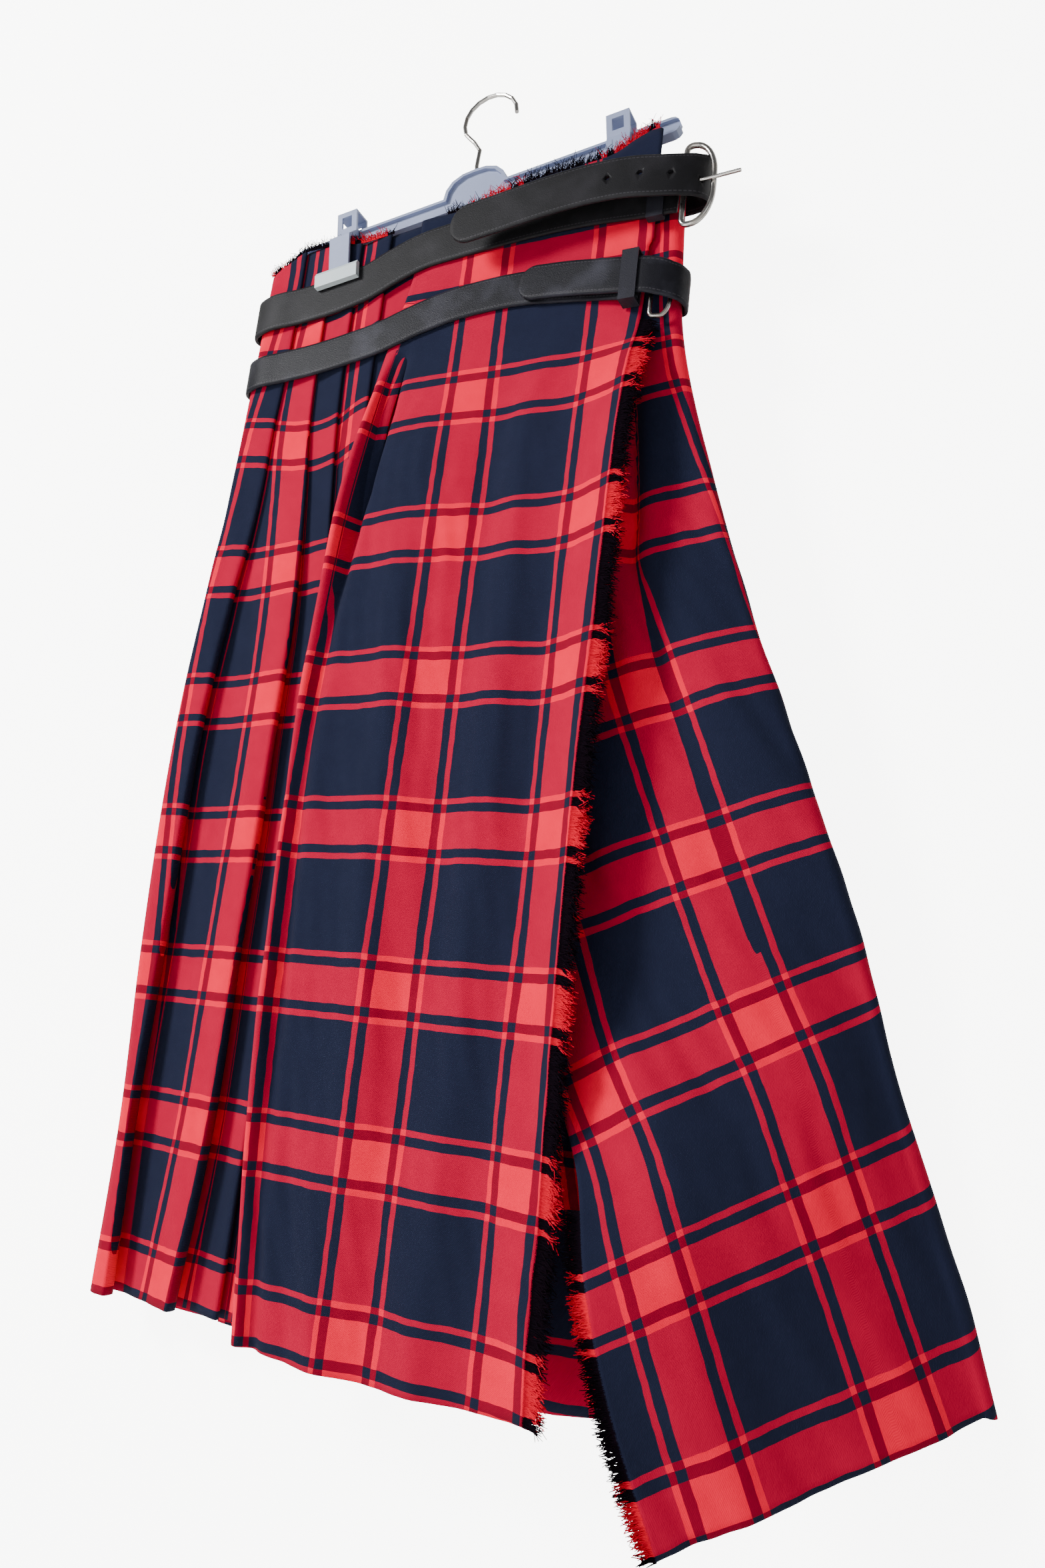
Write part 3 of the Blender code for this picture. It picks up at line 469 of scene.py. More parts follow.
def makeLeather(name, base, worn, roughness, width, shine):
    # uv: length in centimetres, and 0 to 1 across
    made, tree, shader = newMaterial(name, roughness, specular=shine)
    place = placeOf(tree)
    wear = useGroup(tree, wearGroup, Vector=place, Scale=38.0, Amount=0.45)
    uv = splitOf(tree, uvOf(tree, "strapRuns"))
    across = addMath(tree, "ABSOLUTE", addMath(tree, "SUBTRACT", uv[1], 0.5))
    edge = addMath(tree, "MULTIPLY", addMath(tree, "SUBTRACT", 0.5, across), width)  # mm from the edge
    line = addMath(tree, "ABSOLUTE", addMath(tree, "SUBTRACT", edge, stitching["fromEdge"]))
    line = addMath(tree, "LESS_THAN", line, stitching["halfWidth"])
    dash = addMath(tree, "MULTIPLY", uv[0], stitching["perCentimetre"])
    dash = addMath(tree, "LESS_THAN", addMath(tree, "FRACT", dash), stitching["filled"])
    stitch = addMath(tree, "MULTIPLY", line, dash)
    rim = addMath(tree, "SUBTRACT", 1.0, addMath(tree, "MULTIPLY", edge, 0.8), clamp=True)
    # the worn colour marks rubbed wear; on the hip belt its bluish tint is also a painted sheen
    colour = addMix(tree, wear.outputs["Mask"], base, worn)
    colour = addMix(tree, addMath(tree, "MULTIPLY", rim, 0.35), colour, worn)
    colour = addMix(tree, addMath(tree, "MULTIPLY", stitch, 0.35), colour, linear(74, 72, 78))
    tree.links.new(colour, shader.inputs["Base Color"])
    rough = addMath(tree, "MULTIPLY_ADD", wear.outputs["Fine"], 0.22, roughness - 0.12)
    tree.links.new(rough, shader.inputs["Roughness"])
    grain = tree.nodes.new("ShaderNodeTexVoronoi")
    grain.inputs["Scale"].default_value = 1500
    tree.links.new(place, grain.inputs["Vector"])
    height = addMath(tree, "MULTIPLY_ADD", line, -2.0, grain.outputs["Distance"])
    height = addMath(tree, "MULTIPLY_ADD", stitch, 2.4, height)
    height = addMath(tree, "MULTIPLY_ADD", wear.outputs["Fine"], 0.8, height)
    addBump(tree, shader, height, 0.35, 0.00025)
    return made


def makeHard(name, base, worn, wear, rough, bump, **finish):
    # metal or plastic; wear: its scale and amount; rough: the wear's output, its gain, its least value
    made, tree, shader = newMaterial(name, **finish)
    mask = useGroup(tree, wearGroup, Vector=placeOf(tree), Scale=wear[0], Amount=wear[1])
    tree.links.new(addMix(tree, mask.outputs["Mask"], base, worn), shader.inputs["Base Color"])
    dull = addMath(tree, "MULTIPLY_ADD", mask.outputs[rough[0]], *rough[1:])
    tree.links.new(dull, shader.inputs["Roughness"])
    addBump(tree, shader, mask.outputs["Fine"], bump, 0.0002)
    return made


checkCloth = makeCheckCloth()
yarn = makeYarn()
waistLeather = makeLeather("waistLeather", (0.0085, 0.0083, 0.0098, 1), (0.022, 0.021, 0.025, 1),
                           0.52, 32.0, 0.14)
# hip leather: its bluish worn colour is rubbed wear with a painted bluish sheen
hipLeather = makeLeather("hipLeather", (0.010, 0.010, 0.0135, 1), (0.04, 0.04, 0.054, 1), 0.42, 27.0, 0.09)
metal = makeHard("nickelSteel", linear(206, 203, 200), linear(150, 140, 128), (90.0, 0.5),
                 ("Mask", 0.25, 0.2), 0.12, roughness=0.28, metallic=1.0)
greyPlastic = makeHard("greyPlastic", linear(142, 152, 184), linear(160, 170, 200), (30.0, 0.3),
                       ("Fine", 0.2, 0.4), 0.1, roughness=0.5, specular=0.45)
palePlastic = makeHard("palePlastic", linear(196, 208, 212), linear(222, 228, 230), (30.0, 0.3),
                       ("Fine", 0.2, 0.35), 0.1, roughness=0.45, specular=0.45)
print("materials made")


# Meshes.
def newObject(name, data):
    made = bpy.data.objects.new(name, data)
    bpy.context.scene.collection.objects.link(made)
    return made


def newPiece(name, points, faces, material):
    mesh = bpy.data.meshes.new(name)
    mesh.from_pydata(points, [], faces)
    mesh.materials.append(material)
    return newObject(name, mesh)


def layRuns(mesh, name, runs, faces):
    # one uv pair per point: its place in the check, or along a strap and across it
    layer = mesh.uv_layers.new(name=name)
    order = np.array([i for face in faces for i in face])
    layer.data.foreach_set("uv", np.array(runs)[order].reshape(-1))
    mesh.shade_smooth()


def claim(made, slotName, *nodes):
    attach(made, "root")
    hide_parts(*nodes)
    return made


# Cloth.
def subdivide(row, cuts):
    # a row of corner points with straight stretches cut evenly
    out = [[a[i] + (b[i] - a[i]) * (k / n) for i in range(3)]
           for (a, b), n in zip(zip(row, row[1:]), cuts) for k in range(n)]
    return out + [list(row[-1])]


def cutsFor(row, pitch):
    return [max(1, round(math.dist(a, b) / pitch)) for a, b in zip(row, row[1:])]


def gridOf(rowAt, count, pitch=None):
    # dense grid of points in millimetres: rows down the cloth, columns along it
    stations = np.linspace(0, 1, count)
    if pitch is None:
        return np.array([rowAt(v) for v in stations]), stations
    cuts = np.max([cutsFor(rowAt(v), pitch) for v in (0.05, 0.3, 0.5, 0.8, 1.0)], axis=0)
    return np.array([subdivide(rowAt(v), cuts) for v in stations]), stations


def relax(grid, times, firm=0.5):
    # rounds the pressed edges a little, along each row
    for _ in range(times):
        middle = (grid[:, :-2] + grid[:, 2:]) / 2
        grid[:, 1:-1] = grid[:, 1:-1] * firm + middle * (1 - firm)
    return grid


def normalsOf(grid):
    along = np.gradient(grid, axis=1)
    down = np.gradient(grid, axis=0)
    n = np.cross(along, down)
    return n / np.maximum(np.linalg.norm(n, axis=2, keepdims=True), 1e-9)


def waves(columns, rows, seed, terms):
    # soft uneven troughs and ridges: each term is (amplitude mm, along length mm, down length mm)
    rng = np.random.default_rng(seed)
    total = np.zeros_like(columns)
    for amplitude, lengthAlong, lengthDown in terms:
        for _ in range(5):
            turn = rng.uniform(-0.25, 0.25)
            phase = rng.uniform(0, 2 * math.pi)
            scale = rng.uniform(0.75, 1.35)
            total += amplitude / 5 ** 0.5 * np.sin(
                2 * math.pi * (columns / lengthAlong * scale + rows / lengthDown * (1 + turn)) + phase
                + 1.3 * np.sin(2 * math.pi * rows / lengthDown * 0.7 + phase))
    return total


def crumple(grid, way, along, seed, terms, ends, least=0.0):
    # soft waves that start and are full at the given ends, by v
    strength = least + (1 - least) * fade(np.linspace(0, 1, len(grid)), *ends)[:, None]
    return grid + way * (waves(along, grid[:, :, 2], seed, terms) * strength)[:, :, None]


def buildWall(name, grid, column, row, *nodes):
    # both faces and the cut edges of one thickness of cloth, with each point's place in the check
    count, width = grid.shape[:2]
    out = normalsOf(grid) * (cloth["thick"] / 2)
    points = np.concatenate([(grid * mm - out).reshape(-1, 3), (grid * mm + out).reshape(-1, 3)])
    near = np.arange(count * width).reshape(count, width)
    far = near + count * width
    faces = np.concatenate([np.stack(four, axis=-1).reshape(-1, 4) for four in (
        (near[:-1, :-1], near[1:, :-1], near[1:, 1:], near[:-1, 1:]),
        (far[:-1, :-1], far[:-1, 1:], far[1:, 1:], far[1:, :-1]),
        (near[0, :-1], near[0, 1:], far[0, 1:], far[0, :-1]),
        (near[-1, :-1], far[-1, :-1], far[-1, 1:], near[-1, 1:]),
        (near[:-1, 0], far[:-1, 0], far[1:, 0], near[1:, 0]),
        (near[:-1, -1], near[1:, -1], far[1:, -1], far[:-1, -1]))]).tolist()
    made = newPiece(name, points.tolist(), faces, checkCloth)
    runs = np.stack([column, row], axis=2).reshape(-1, 2)
    layRuns(made.data, "clothRuns", np.concatenate([runs, runs]), faces)
    print(name + ":", len(faces), "faces")
    return claim(made, "check_cotton", *nodes)


def lengthsAlong(grid):
    # length of cloth from the start of each row
    steps = np.linalg.norm(np.diff(grid[:, :, :2], axis=1), axis=2)
    return np.concatenate([np.zeros((len(grid), 1)), np.cumsum(steps, axis=1)], axis=1)


apron = {"columnAtZero": 0.973, "seed": 4, "redWidth": 5.5, "redTo": 0.29, "navyFrom": 0.43,
         "cornerShift": 0.42}
grid, stations = gridOf(apronRow, cloth["rows"])
rowK = hangingRow(grid[:, :, 2])
run = lengthsAlong(grid)
foldAt = 8  # column of the grid where the fold's nose ends
colJ = np.zeros_like(run)
for i, v in enumerate(stations):
    base = run[i, foldAt]
    xs = grid[i, foldAt, 0]
    colJ[i] = (run[i] - base + xs) / cloth["repeat"] + apron["columnAtZero"]
    flat = grid[i, :, 0] / cloth["repeat"] + apron["columnAtZero"]
    past = run[i] > base  # on the flat, the check hangs straight
    colJ[i, past] = flat[past]
    if v < 0.1:
        nose = flat[foldAt]
    else:  # the ridge takes up a stretch of cloth, and the valley hides the lines beside it
        far = foldAt + int(np.argmax(grid[i, foldAt:, 0] > xs + read(apronRidge, "reach", v)))
        nose = read(apronRidge, "column", v)
        inside = np.arange(foldAt, far + 1)
        even = nose + (flat[far] - nose) * (run[i, inside] - base) / (run[i, far] - base)
        reached = grid[i, inside, 0] - xs
        jump = np.interp(reached, [0, apron["redWidth"], apron["redWidth"] + 0.01, grid[i, far, 0] - xs],
                         [nose, apron["redTo"], apron["navyFrom"], flat[far]])
        hidden = 1 - fade(v, 0.33, 0.43)
        colJ[i, inside] = even * (1 - hidden) + jump * hidden
    colJ[i, :foldAt] = nose - (base - run[i, :foldAt]) / cloth["repeat"]
    corner = 1 - fade(v, 0.03, 0.07)  # the twisted top corner shows another stretch of the check
    colJ[i] += apron["cornerShift"] * corner * fade(grid[i, :, 0], 85, 108)
grid = crumple(grid, normalsOf(grid) * cloth["wrinkle"], run, apron["seed"],
               [(1.1, 95, 520), (0.6, 42, 260), (0.25, 18, 90)], (0.14, 0.3), 0.12)
apronPiece = buildWall("apronCloth", grid, colJ, rowK, "front_apron", "front_apron_fold")
apronGrid = grid

pleats = {"seed": 8}
# check column at each front pleat's folded edge, by v
pleatColumns = table(
    "v     c1    c2    c3    c4",
    (0.00, 0.43, 0.17, 0.75, 0.53), (0.05, 0.43, 0.17, 0.75, 0.53), (0.10, 0.49, 0.235, 0.75, 0.53),
    (0.20, 0.58, 0.30, 0.75, 0.52),
    (0.50, 0.50, 0.30, 0.72, 0.56), (0.70, 0.36, 0.31, 0.70, 0.60), (1.00, 0.30, 0.33, 0.68, 0.62))
# how much further up the cloth the check sits than on the apron, in repeats
pleatSag = table(
    "x     belts below lower",
    (-230, -0.22, -0.06, -0.05), (-181, -0.25, -0.08, -0.06), (-160, -0.28, -0.11, -0.07),
    (-124, -0.30, -0.18, -0.07), (-100, -0.29, -0.17, -0.06), (-76, -0.20, -0.07, -0.05),
    (-40, -0.06, -0.04, -0.03), (10, 0, 0, 0))


def sagAt(x, v):
    values = [smooth(x, pleatSag["x"], pleatSag[n]) for n in ("belts", "below", "lower")] + [-0.02, 0.0]
    return smooth(v, np.array([0.10, 0.19, 0.31, 0.55, 1.0]), np.array(values))


grid, stations = gridOf(leftPleatsRow, cloth["rows"], 3.2)
grid = relax(grid, 1, 0.6)
rowK = hangingRow(grid[:, :, 2])
rowK += np.array([[sagAt(x, v) for x in row] for row, v in zip(grid[:, :, 0], stations)])
colJ = np.zeros_like(rowK)
for i, v in enumerate(stations):
    edges = [read(front, n, v) for n in ("e1", "e2", "e3", "e4")]
    marks = [read(pleatColumns, n, v) for n in ("c1", "c2", "c3", "c4")]
    x = grid[i, :, 0]
    current = 0
    deepest = read(front, "pleatY", v) + 1.5 * read(front, "step", v)
    for c in range(len(x)):
        if current < 4 and x[c] > edges[current] - 0.2 and grid[i, c, 1] > deepest:
            current += 1
        near = min(current, 3)
        colJ[i, c] = marks[near] + (0.1 if current > 3 else 0) + (x[c] - edges[near]) / cloth["repeat"]
grid = crumple(grid, np.array([0, -1, 0]), grid[:, :, 0], pleats["seed"],
               [(0.5, 60, 420), (0.25, 25, 180)], (0.18, 0.32))
pleatPiece = buildWall("leftPleatCloth", grid, colJ, rowK, "left_pleats")
pleatGrid = grid

back = {"seed": 12}
sideRows = {"atTop": 0.65, "count": 7.68}  # check rows down the kilt's right side
grid, stations = gridOf(backRow, 110, 5.0)
grid = relax(grid, 1, 0.7)
share = (stations * sideRows["count"] + sideRows["atTop"])[:, None] * np.ones(grid.shape[1])[None, :]
leftK = hangingRow(grid[:, :, 2])
blend = np.clip((grid[:, :, 0] + 60) / 300, 0, 1)
rowK = leftK * (1 - blend) + share * blend
run = lengthsAlong(grid)
shown = int(np.argmin(np.abs(grid[-1, :, 0] - 212)))  # the column that the photo shows at the hem
colJ = (run - run[:, shown:shown + 1]) / cloth["repeat"] + 0.69
grid = crumple(grid, np.array([0, 1, 0]), grid[:, :, 0], back["seed"],
               [(0.8, 150, 500), (0.4, 60, 260)], (0.2, 0.4))
backPiece = buildWall("backPleatCloth", grid, colJ, rowK, "back_pleats")

flap = table(  # check columns at both ends and on either side of the crease, and where that is
    "v     sideJ  freeJ  crease before after",
    (0.00, 2.20, -0.25, 0.86, 1.30, 1.85), (0.17, 2.17, -0.23, 0.85, 1.30, 1.80),
    (0.21, 2.155, -0.19, 0.83, 1.30, 1.77), (0.24, 2.12, -0.16, 0.81, 1.30, 1.70),
    (0.28, 2.08, -0.10, 0.78, 1.30, 1.61), (0.32, 2.03, -0.07, 0.745, 1.28, 1.53),
    (0.36, 2.01, 0.01, 0.70, 1.28, 1.40), (0.41, 2.01, 0.09, 0.70, 1.34, 1.36),
    (0.50, 1.95, 0.10, 0.70, 1.34, 1.35), (0.566, 1.90, 0.05, 0.70, 1.345, 1.345),
    (0.71, 1.85, -0.04, 0.70, 1.283, 1.283), (0.872, 1.75, -0.19, 0.70, 1.168, 1.168),
    (1.00, 1.68, -0.20, 0.70, 1.116, 1.116))
grid, stations = gridOf(underApronRow, cloth["rows"])
run = lengthsAlong(grid)
colJ = np.zeros_like(run)
rowK = np.zeros_like(run)
for i, v in enumerate(stations):
    reach = run[i, 76]  # length from the free edge to the silhouette
    share = run[i] / reach
    sideJ, freeJ, crease, before, after = (
        read(flap, n, v) for n in ("sideJ", "freeJ", "crease", "before", "after"))
    colJ[i] = np.interp(share, [0, crease - 0.012, crease + 0.012, 1], [freeJ, before, after, sideJ])
    colJ[i] += np.maximum(share - 1, 0) * (sideJ - after) / (1 - crease)
    rowK[i] = sideRows["atTop"] + sideRows["count"] * v
    rise, wide = (read(side, "right" + n, v) - read(side, "free" + n, v) for n in "ZX")
    slope = rise / wide
    rowK[i, 73:] += slope * (run[i, 73:] - run[i, 72]) / cloth["repeat"]
grid = crumple(grid, normalsOf(grid), run, 21, [(1.6, 110, 420), (0.7, 45, 230), (0.3, 20, 90)], (0.2, 0.4))
flapPiece = buildWall("underApronCloth", grid, colJ, rowK, "under_apron")
flapGrid, flapRows = grid, rowK


# Frayed edges.
def strand(points, radius, verts, faces, runs, coordinate):
    # a three-sided tapering yarn
    base = len(verts)
    for i, p in enumerate(points):
        ahead = points[min(i + 1, len(points) - 1)] - points[max(i - 1, 0)]
        across = ahead.cross(Vector((0.3, 1, 0.2))).normalized()
        other = ahead.cross(across).normalized()
        r = radius * (1 - 0.6 * i / (len(points) - 1))
        for k in range(3):
            angle = 2 * math.pi * k / 3
            verts.append(p + across * r * math.cos(angle) + other * r * math.sin(angle))
            runs.append((coordinate, i / (len(points) - 1)))
    for i in range(len(points) - 1):
        for k in range(3):
            n = (k + 1) % 3
            faces.append((base + 3 * i + k, base + 3 * i + n, base + 3 * i + 3 + n, base + 3 * i + 3 + k))
    last = base + 3 * (len(points) - 1)
    faces.append((base, base + 1, base + 2))
    faces.append((last, last + 2, last + 1))


def makeFringe(name, node, edge, outward, coordinates, spec):
    # many loose yarns from an edge line; coordinates give each yarn's place in the check
    rng = random.Random(spec["seed"])
    verts, faces, runs = [], [], []
    spans = [0.0]
    for a, b in zip(edge, edge[1:]):
        spans.append(spans[-1] + (b - a).length)
    count = int(spans[-1] / (spec["pitch"] * mm))
    for i in range(count):
        at = spans[-1] * (i + rng.random()) / count
        k = min(int(np.searchsorted(spans, at, side="right")) - 1, len(edge) - 2)
        t = (at - spans[k]) / (spans[k + 1] - spans[k])
        root = edge[k].lerp(edge[k + 1], t)
        out = outward[k].lerp(outward[k + 1], t).normalized()
        coordinate = coordinates[k] * (1 - t) + coordinates[k + 1] * t
        along = (edge[k + 1] - edge[k]).normalized()
        reach = spec["length"] * mm * rng.uniform(*spec["uneven"])
        lean = along * rng.uniform(-1, 1) * spec["lean"] + Vector((0, 0, -1)) * spec["droop"] * rng.random()
        wide = out.cross(along) * rng.uniform(-1, 1) * spec["spread"]
        points = []
        for s in range(spec["steps"] + 1):
            f = s / spec["steps"]
            curl = Vector((rng.uniform(-1, 1), rng.uniform(-1, 1), rng.uniform(-1, 1))) * spec["curl"] * f
            points.append(root - out * 0.6 * mm + (out * f + (lean + wide) * f * f + curl * 0.5) * reach)
        strand(points, spec["radius"] * mm * rng.uniform(0.7, 1.2), verts, faces, runs, coordinate)
    made = newPiece(name, [tuple(v) for v in verts], faces, yarn)
    layRuns(made.data, "clothRuns", runs, faces)
    return claim(made, "loose_yarn", node)


def edgeLine(grid, column, beside, top):
    # points down one edge below a height, the ways out of the cloth there, and their rows
    kept = [i for i in range(len(grid)) if grid[i, column, 2] < top]
    points = [Vector(grid[i, column]) * mm for i in kept]
    ways = [Vector((grid[i, column] - grid[i, beside]) * (1, 1, 0)).normalized() for i in kept]
    return points, ways, kept


sideFringe = {"seed": 31, "pitch": 0.15, "length": 12.0, "uneven": (0.7, 1.15), "lean": 0.3, "droop": 0.35,
              "spread": 0.25, "curl": 0.25, "steps": 3, "radius": 0.55}
edge, outward = edgeLine(apronGrid, -1, -2, -222)[:2]
outward = [(way + Vector((0.9, 0.35, -0.1))).normalized() for way in outward]
apronYarn = makeFringe("apronYarnEdge", "apron_fringe", edge, outward,
                       [hangingRow(p.z / mm) for p in edge], sideFringe)
edge, outward, kept = edgeLine(flapGrid, 0, 1, -790)
flapYarn = makeFringe("underApronYarnEdge", "under_apron_fringe", edge, outward,
                      [flapRows[i, 0] for i in kept], dict(sideFringe, seed=33, length=9.0))
topFringe = {"seed": 41, "pitch": 0.2, "length": 5.5, "uneven": (0.3, 1.3), "lean": 0.6, "droop": 0.2,
             "spread": 0.5, "curl": 0.6, "steps": 3, "radius": 0.42}


def topLineOf(grid, low, high):
    # the raw top edge between two places along X, a point every 1.2 mm or more
    points = [Vector(p) * mm for p in grid[0] if low <= p[0] <= high]
    out = [points[0]]
    for p in points[1:]:
        if p.x > out[-1].x + 0.0012:
            out.append(p)
    return out


line = topLineOf(pleatGrid, -178, -62)
lineLow = min(p.y for p in line)
line = [Vector((p.x, lineLow, p.z)) for p in line]
topLeftYarn = makeFringe("topLeftYarn", "top_fringe_left", line, [Vector((0, -0.2, 1))] * len(line),
                         [0.57 + (p.x / mm + 147) / cloth["repeat"] for p in line], topFringe)
line = topLineOf(apronGrid, -36, 150)
topRightYarn = makeFringe("topRightYarn", "top_fringe_right", line, [Vector((0, -0.2, 1))] * len(line),
                          [p.x / mm / cloth["repeat"] + apron["columnAtZero"] for p in line],
                          dict(topFringe, seed=43, length=7.0))
print("frayed edges made")


# Belts.
waistPath = table(
    "x     y     z",
    (169, -17.3, -137), (148, -17, -136), (125, -15.6, -133), (90, -15.2, -131),
    (45, -15.2, -132), (0, -15.2, -135), (-35, -15.2, -139), (-57, -15.2, -146),
    (-79, -15.2, -155), (-105, -15.2, -161), (-140, -15.3, -165), (-175, -15.6, -168),
    (-183.8, -12, -169), (-187.6, -3.3, -168), (-183.8, 5.6, -167), (-175, 9.2, -165),
    (-120, 8.6, -157), (-60, 8.6, -148), (0, 8.5, -140), (60, 8.4, -133), (120, 8.3, -125),
    (158, 8.2, -121), (174, 7.0, -121), (183.5, 1, -123), (187, -7, -126), (186.5, -15, -129),
    (182, -22, -131), (173, -27.4, -132.5), (158, -31.4, -132.5), (139, -34, -131),
    (115, -35.6, -131), (91, -36.8, -133), (66, -37.5, -136), (40, -38, -140), (19, -38, -142.5))
hipPath = table(
    "x     y     z",
    (149, -17.8, -203), (133, -17.4, -199), (108, -15.4, -194), (85, -15.2, -191), (60, -15.2, -188),
    (25, -15.2, -188), (-5, -15.2, -191), (-35, -15.2, -198), (-62, -15.2, -206),
    (-90, -15.2, -211), (-120, -15.2, -215), (-150, -15.2, -217), (-175, -15.2, -219),
    (-183.6, -11.6, -220), (-187.6, -3, -219), (-183.6, 5.5, -217), (-175, 9.1, -216),
    (-120, 8.9, -213), (-60, 8.9, -207), (0, 8.9, -202), (60, 8.9, -200), (120, 8.9, -200),
    (150, 8.9, -201), (165, 8.9, -202), (172, 6.3, -203), (175, -0.6, -204), (176, -6, -205),
    (174, -13, -205), (167, -18.8, -204), (157, -21.6, -201), (140, -22.2, -198), (115, -21.4, -194),
    (90, -20.2, -190), (68, -19.6, -188))


def pathPoints(source, perSpan):
    keys = np.stack([source["x"], source["y"], source["z"]], axis=1)
    run = np.concatenate([[0.0], np.cumsum(np.linalg.norm(np.diff(keys, axis=0), axis=1))])
    out = []
    for i in range(len(keys) - 1):
        for k in range(perSpan):
            at = run[i] + (run[i + 1] - run[i]) * k / perSpan
            out.append(Vector([smooth(at, run, keys[:, axis]) for axis in range(3)]) * mm)
    out.append(Vector(keys[-1]) * mm)
    return out


def makeStrap(name, node, source, belt, material):
    # a strap with pressed, rounded edges and a round tail
    points = pathPoints(source, 6)
    widths = [1.0] * len(points)
    end, along = points[-1], (points[-1] - points[-2]).normalized()
    for k in range(1, 13):
        share = math.sin(math.pi / 2 * k / 12)
        points.append(end + along * belt["width"] / 2 * mm * share * 0.97)
        widths.append(math.sqrt(max(0.0, 1 - (share * 0.985) ** 2)))
    half, deep = belt["width"] / 2, belt["thick"] / 2
    # shares of half the width and of half the thickness, from the middle of the outer face
    section = [(0, 1), (0.35, 1), (0.62, 1), (0.80, 0.99), (0.90, 0.94), (0.965, 0.72), (0.995, 0.35),
               (1, 0), (0.995, -0.35), (0.965, -0.72), (0.90, -0.94), (0.80, -0.99), (0.4, -1), (0, -1)]
    section += [(-a, b) for a, b in reversed(section[1:-1])]
    verts, runs, faces = [], [], []
    travelled = 0.0
    for i, point in enumerate(points):
        way = points[min(i + 1, len(points) - 1)] - points[max(i - 1, 0)]
        level = Vector((-way.y, way.x, 0)).normalized()
        rise = level.cross(way).normalized()
        if rise.z < 0:
            rise.negate()
        if i:
            travelled += (point - points[i - 1]).length
        # level points out of the kilt, because the path starts leftwards along its front
        for a, b in section:
            verts.append(point + rise * a * half * mm * widths[i]
                         + level * b * deep * mm * min(1, 0.4 + widths[i]))
            runs.append((travelled * 100, 0.5 + a / 2 * widths[i]))
    n = len(section)
    for i in range(len(points) - 1):
        for k in range(n):
            m = (k + 1) % n
            faces.append((i * n + k, i * n + m, (i + 1) * n + m, (i + 1) * n + k))
    faces.append(tuple(range(n)))
    faces.append(tuple(range((len(points) - 1) * n, len(points) * n)))
    made = newPiece(name, [tuple(v) for v in verts], faces, material)
    layRuns(made.data, "strapRuns", runs, faces)
    bm = bmesh.new()
    bm.from_mesh(made.data)
    bmesh.ops.recalc_face_normals(bm, faces=bm.faces)
    bm.to_mesh(made.data)
    bm.free()
    return claim(made, "black_leather", node)


def punch(piece, holes):
    # round holes, each given by its start, its end and its radius
    for start, end, radius in holes:
        axis = end - start
        bm = bmesh.new()
        turn = Vector((0, 0, 1)).rotation_difference(axis).to_matrix().to_4x4()
        bmesh.ops.create_cone(bm, cap_ends=True, segments=20, radius1=radius, radius2=radius,
                              depth=axis.length, matrix=Matrix.Translation((start + end) / 2) @ turn)
        mesh = bpy.data.meshes.new("punchTool")
        bm.to_mesh(mesh)
        bm.free()
        tool = newObject("punchTool", mesh)
        cut = piece.modifiers.new("punch", "BOOLEAN")
        cut.operation = "DIFFERENCE"
        cut.solver = "EXACT"
        cut.object = tool
        bpy.context.view_layer.update()
        solid = bpy.data.meshes.new_from_object(piece.evaluated_get(bpy.context.evaluated_depsgraph_get()))
        piece.modifiers.remove(cut)
        piece.data = solid
        bpy.data.objects.remove(tool)


waistBelt = {"width": 32.0, "thick": 3.0, "hole": 1.9}
hipBelt = {"width": 27.0, "thick": 3.0}
waistStrap = makeStrap("waistStrap", "waist_belt_strap", waistPath, waistBelt, waistLeather)
punch(waistStrap, [(Vector((x, y - 8, z)) * mm, Vector((x, y + 8, z)) * mm, waistBelt["hole"] * mm)
                   for x, y, z in ((123, -35.2, -130), (146, -33.2, -130), (167, -29.2, -132))]
      + [(Vector((174, -19.4, -134)) * mm, Vector((195, -21.1, -134.5)) * mm, 2.1 * mm)])
makeStrap("hipStrap", "hip_belt_strap", hipPath, hipBelt, hipLeather)
print("straps made")


def makeTube(name, node, points, radius, material, closed=False):
    curve = bpy.data.curves.new(name, "CURVE")
    curve.dimensions = "3D"
    curve.bevel_depth = radius
    curve.bevel_resolution = 5
    curve.use_fill_caps = not closed
    spline = curve.splines.new("POLY")
    spline.points.add(len(points) - 1)
    for point, p in zip(spline.points, points):
        point.co = (*p, 1.0)
    spline.use_cyclic_u = closed
    spline.use_smooth = True
    curve.materials.append(material)
    return claim(newObject(name, curve), "nickel_steel", node)


def roundLoop(inner, outer, low, high, corner, bow):
    # a buckle's frame: square corners at the strap, a bow (wide, tall) at its outer side
    out = []
    across = (outer - inner).normalized()
    width = (outer - inner).length
    origin = Vector((inner.x, inner.y, (low + high) / 2))
    halfW, halfT = width / 2, (high - low) / 2
    for sx, sz, first in ((1, 1, 0), (-1, 1, 90), (-1, -1, 180), (1, -1, 270)):
        for k in range(9):
            angle = math.radians(first + 11.25 * k)
            wide, tall = (corner, corner) if sx < 0 else bow
            a = sx * (halfW - wide) + wide * math.cos(angle)
            b = sz * (halfT - tall) + tall * math.sin(angle)
            out.append(origin + across * (halfW + a) + Vector((0, 0, b)))
    return out


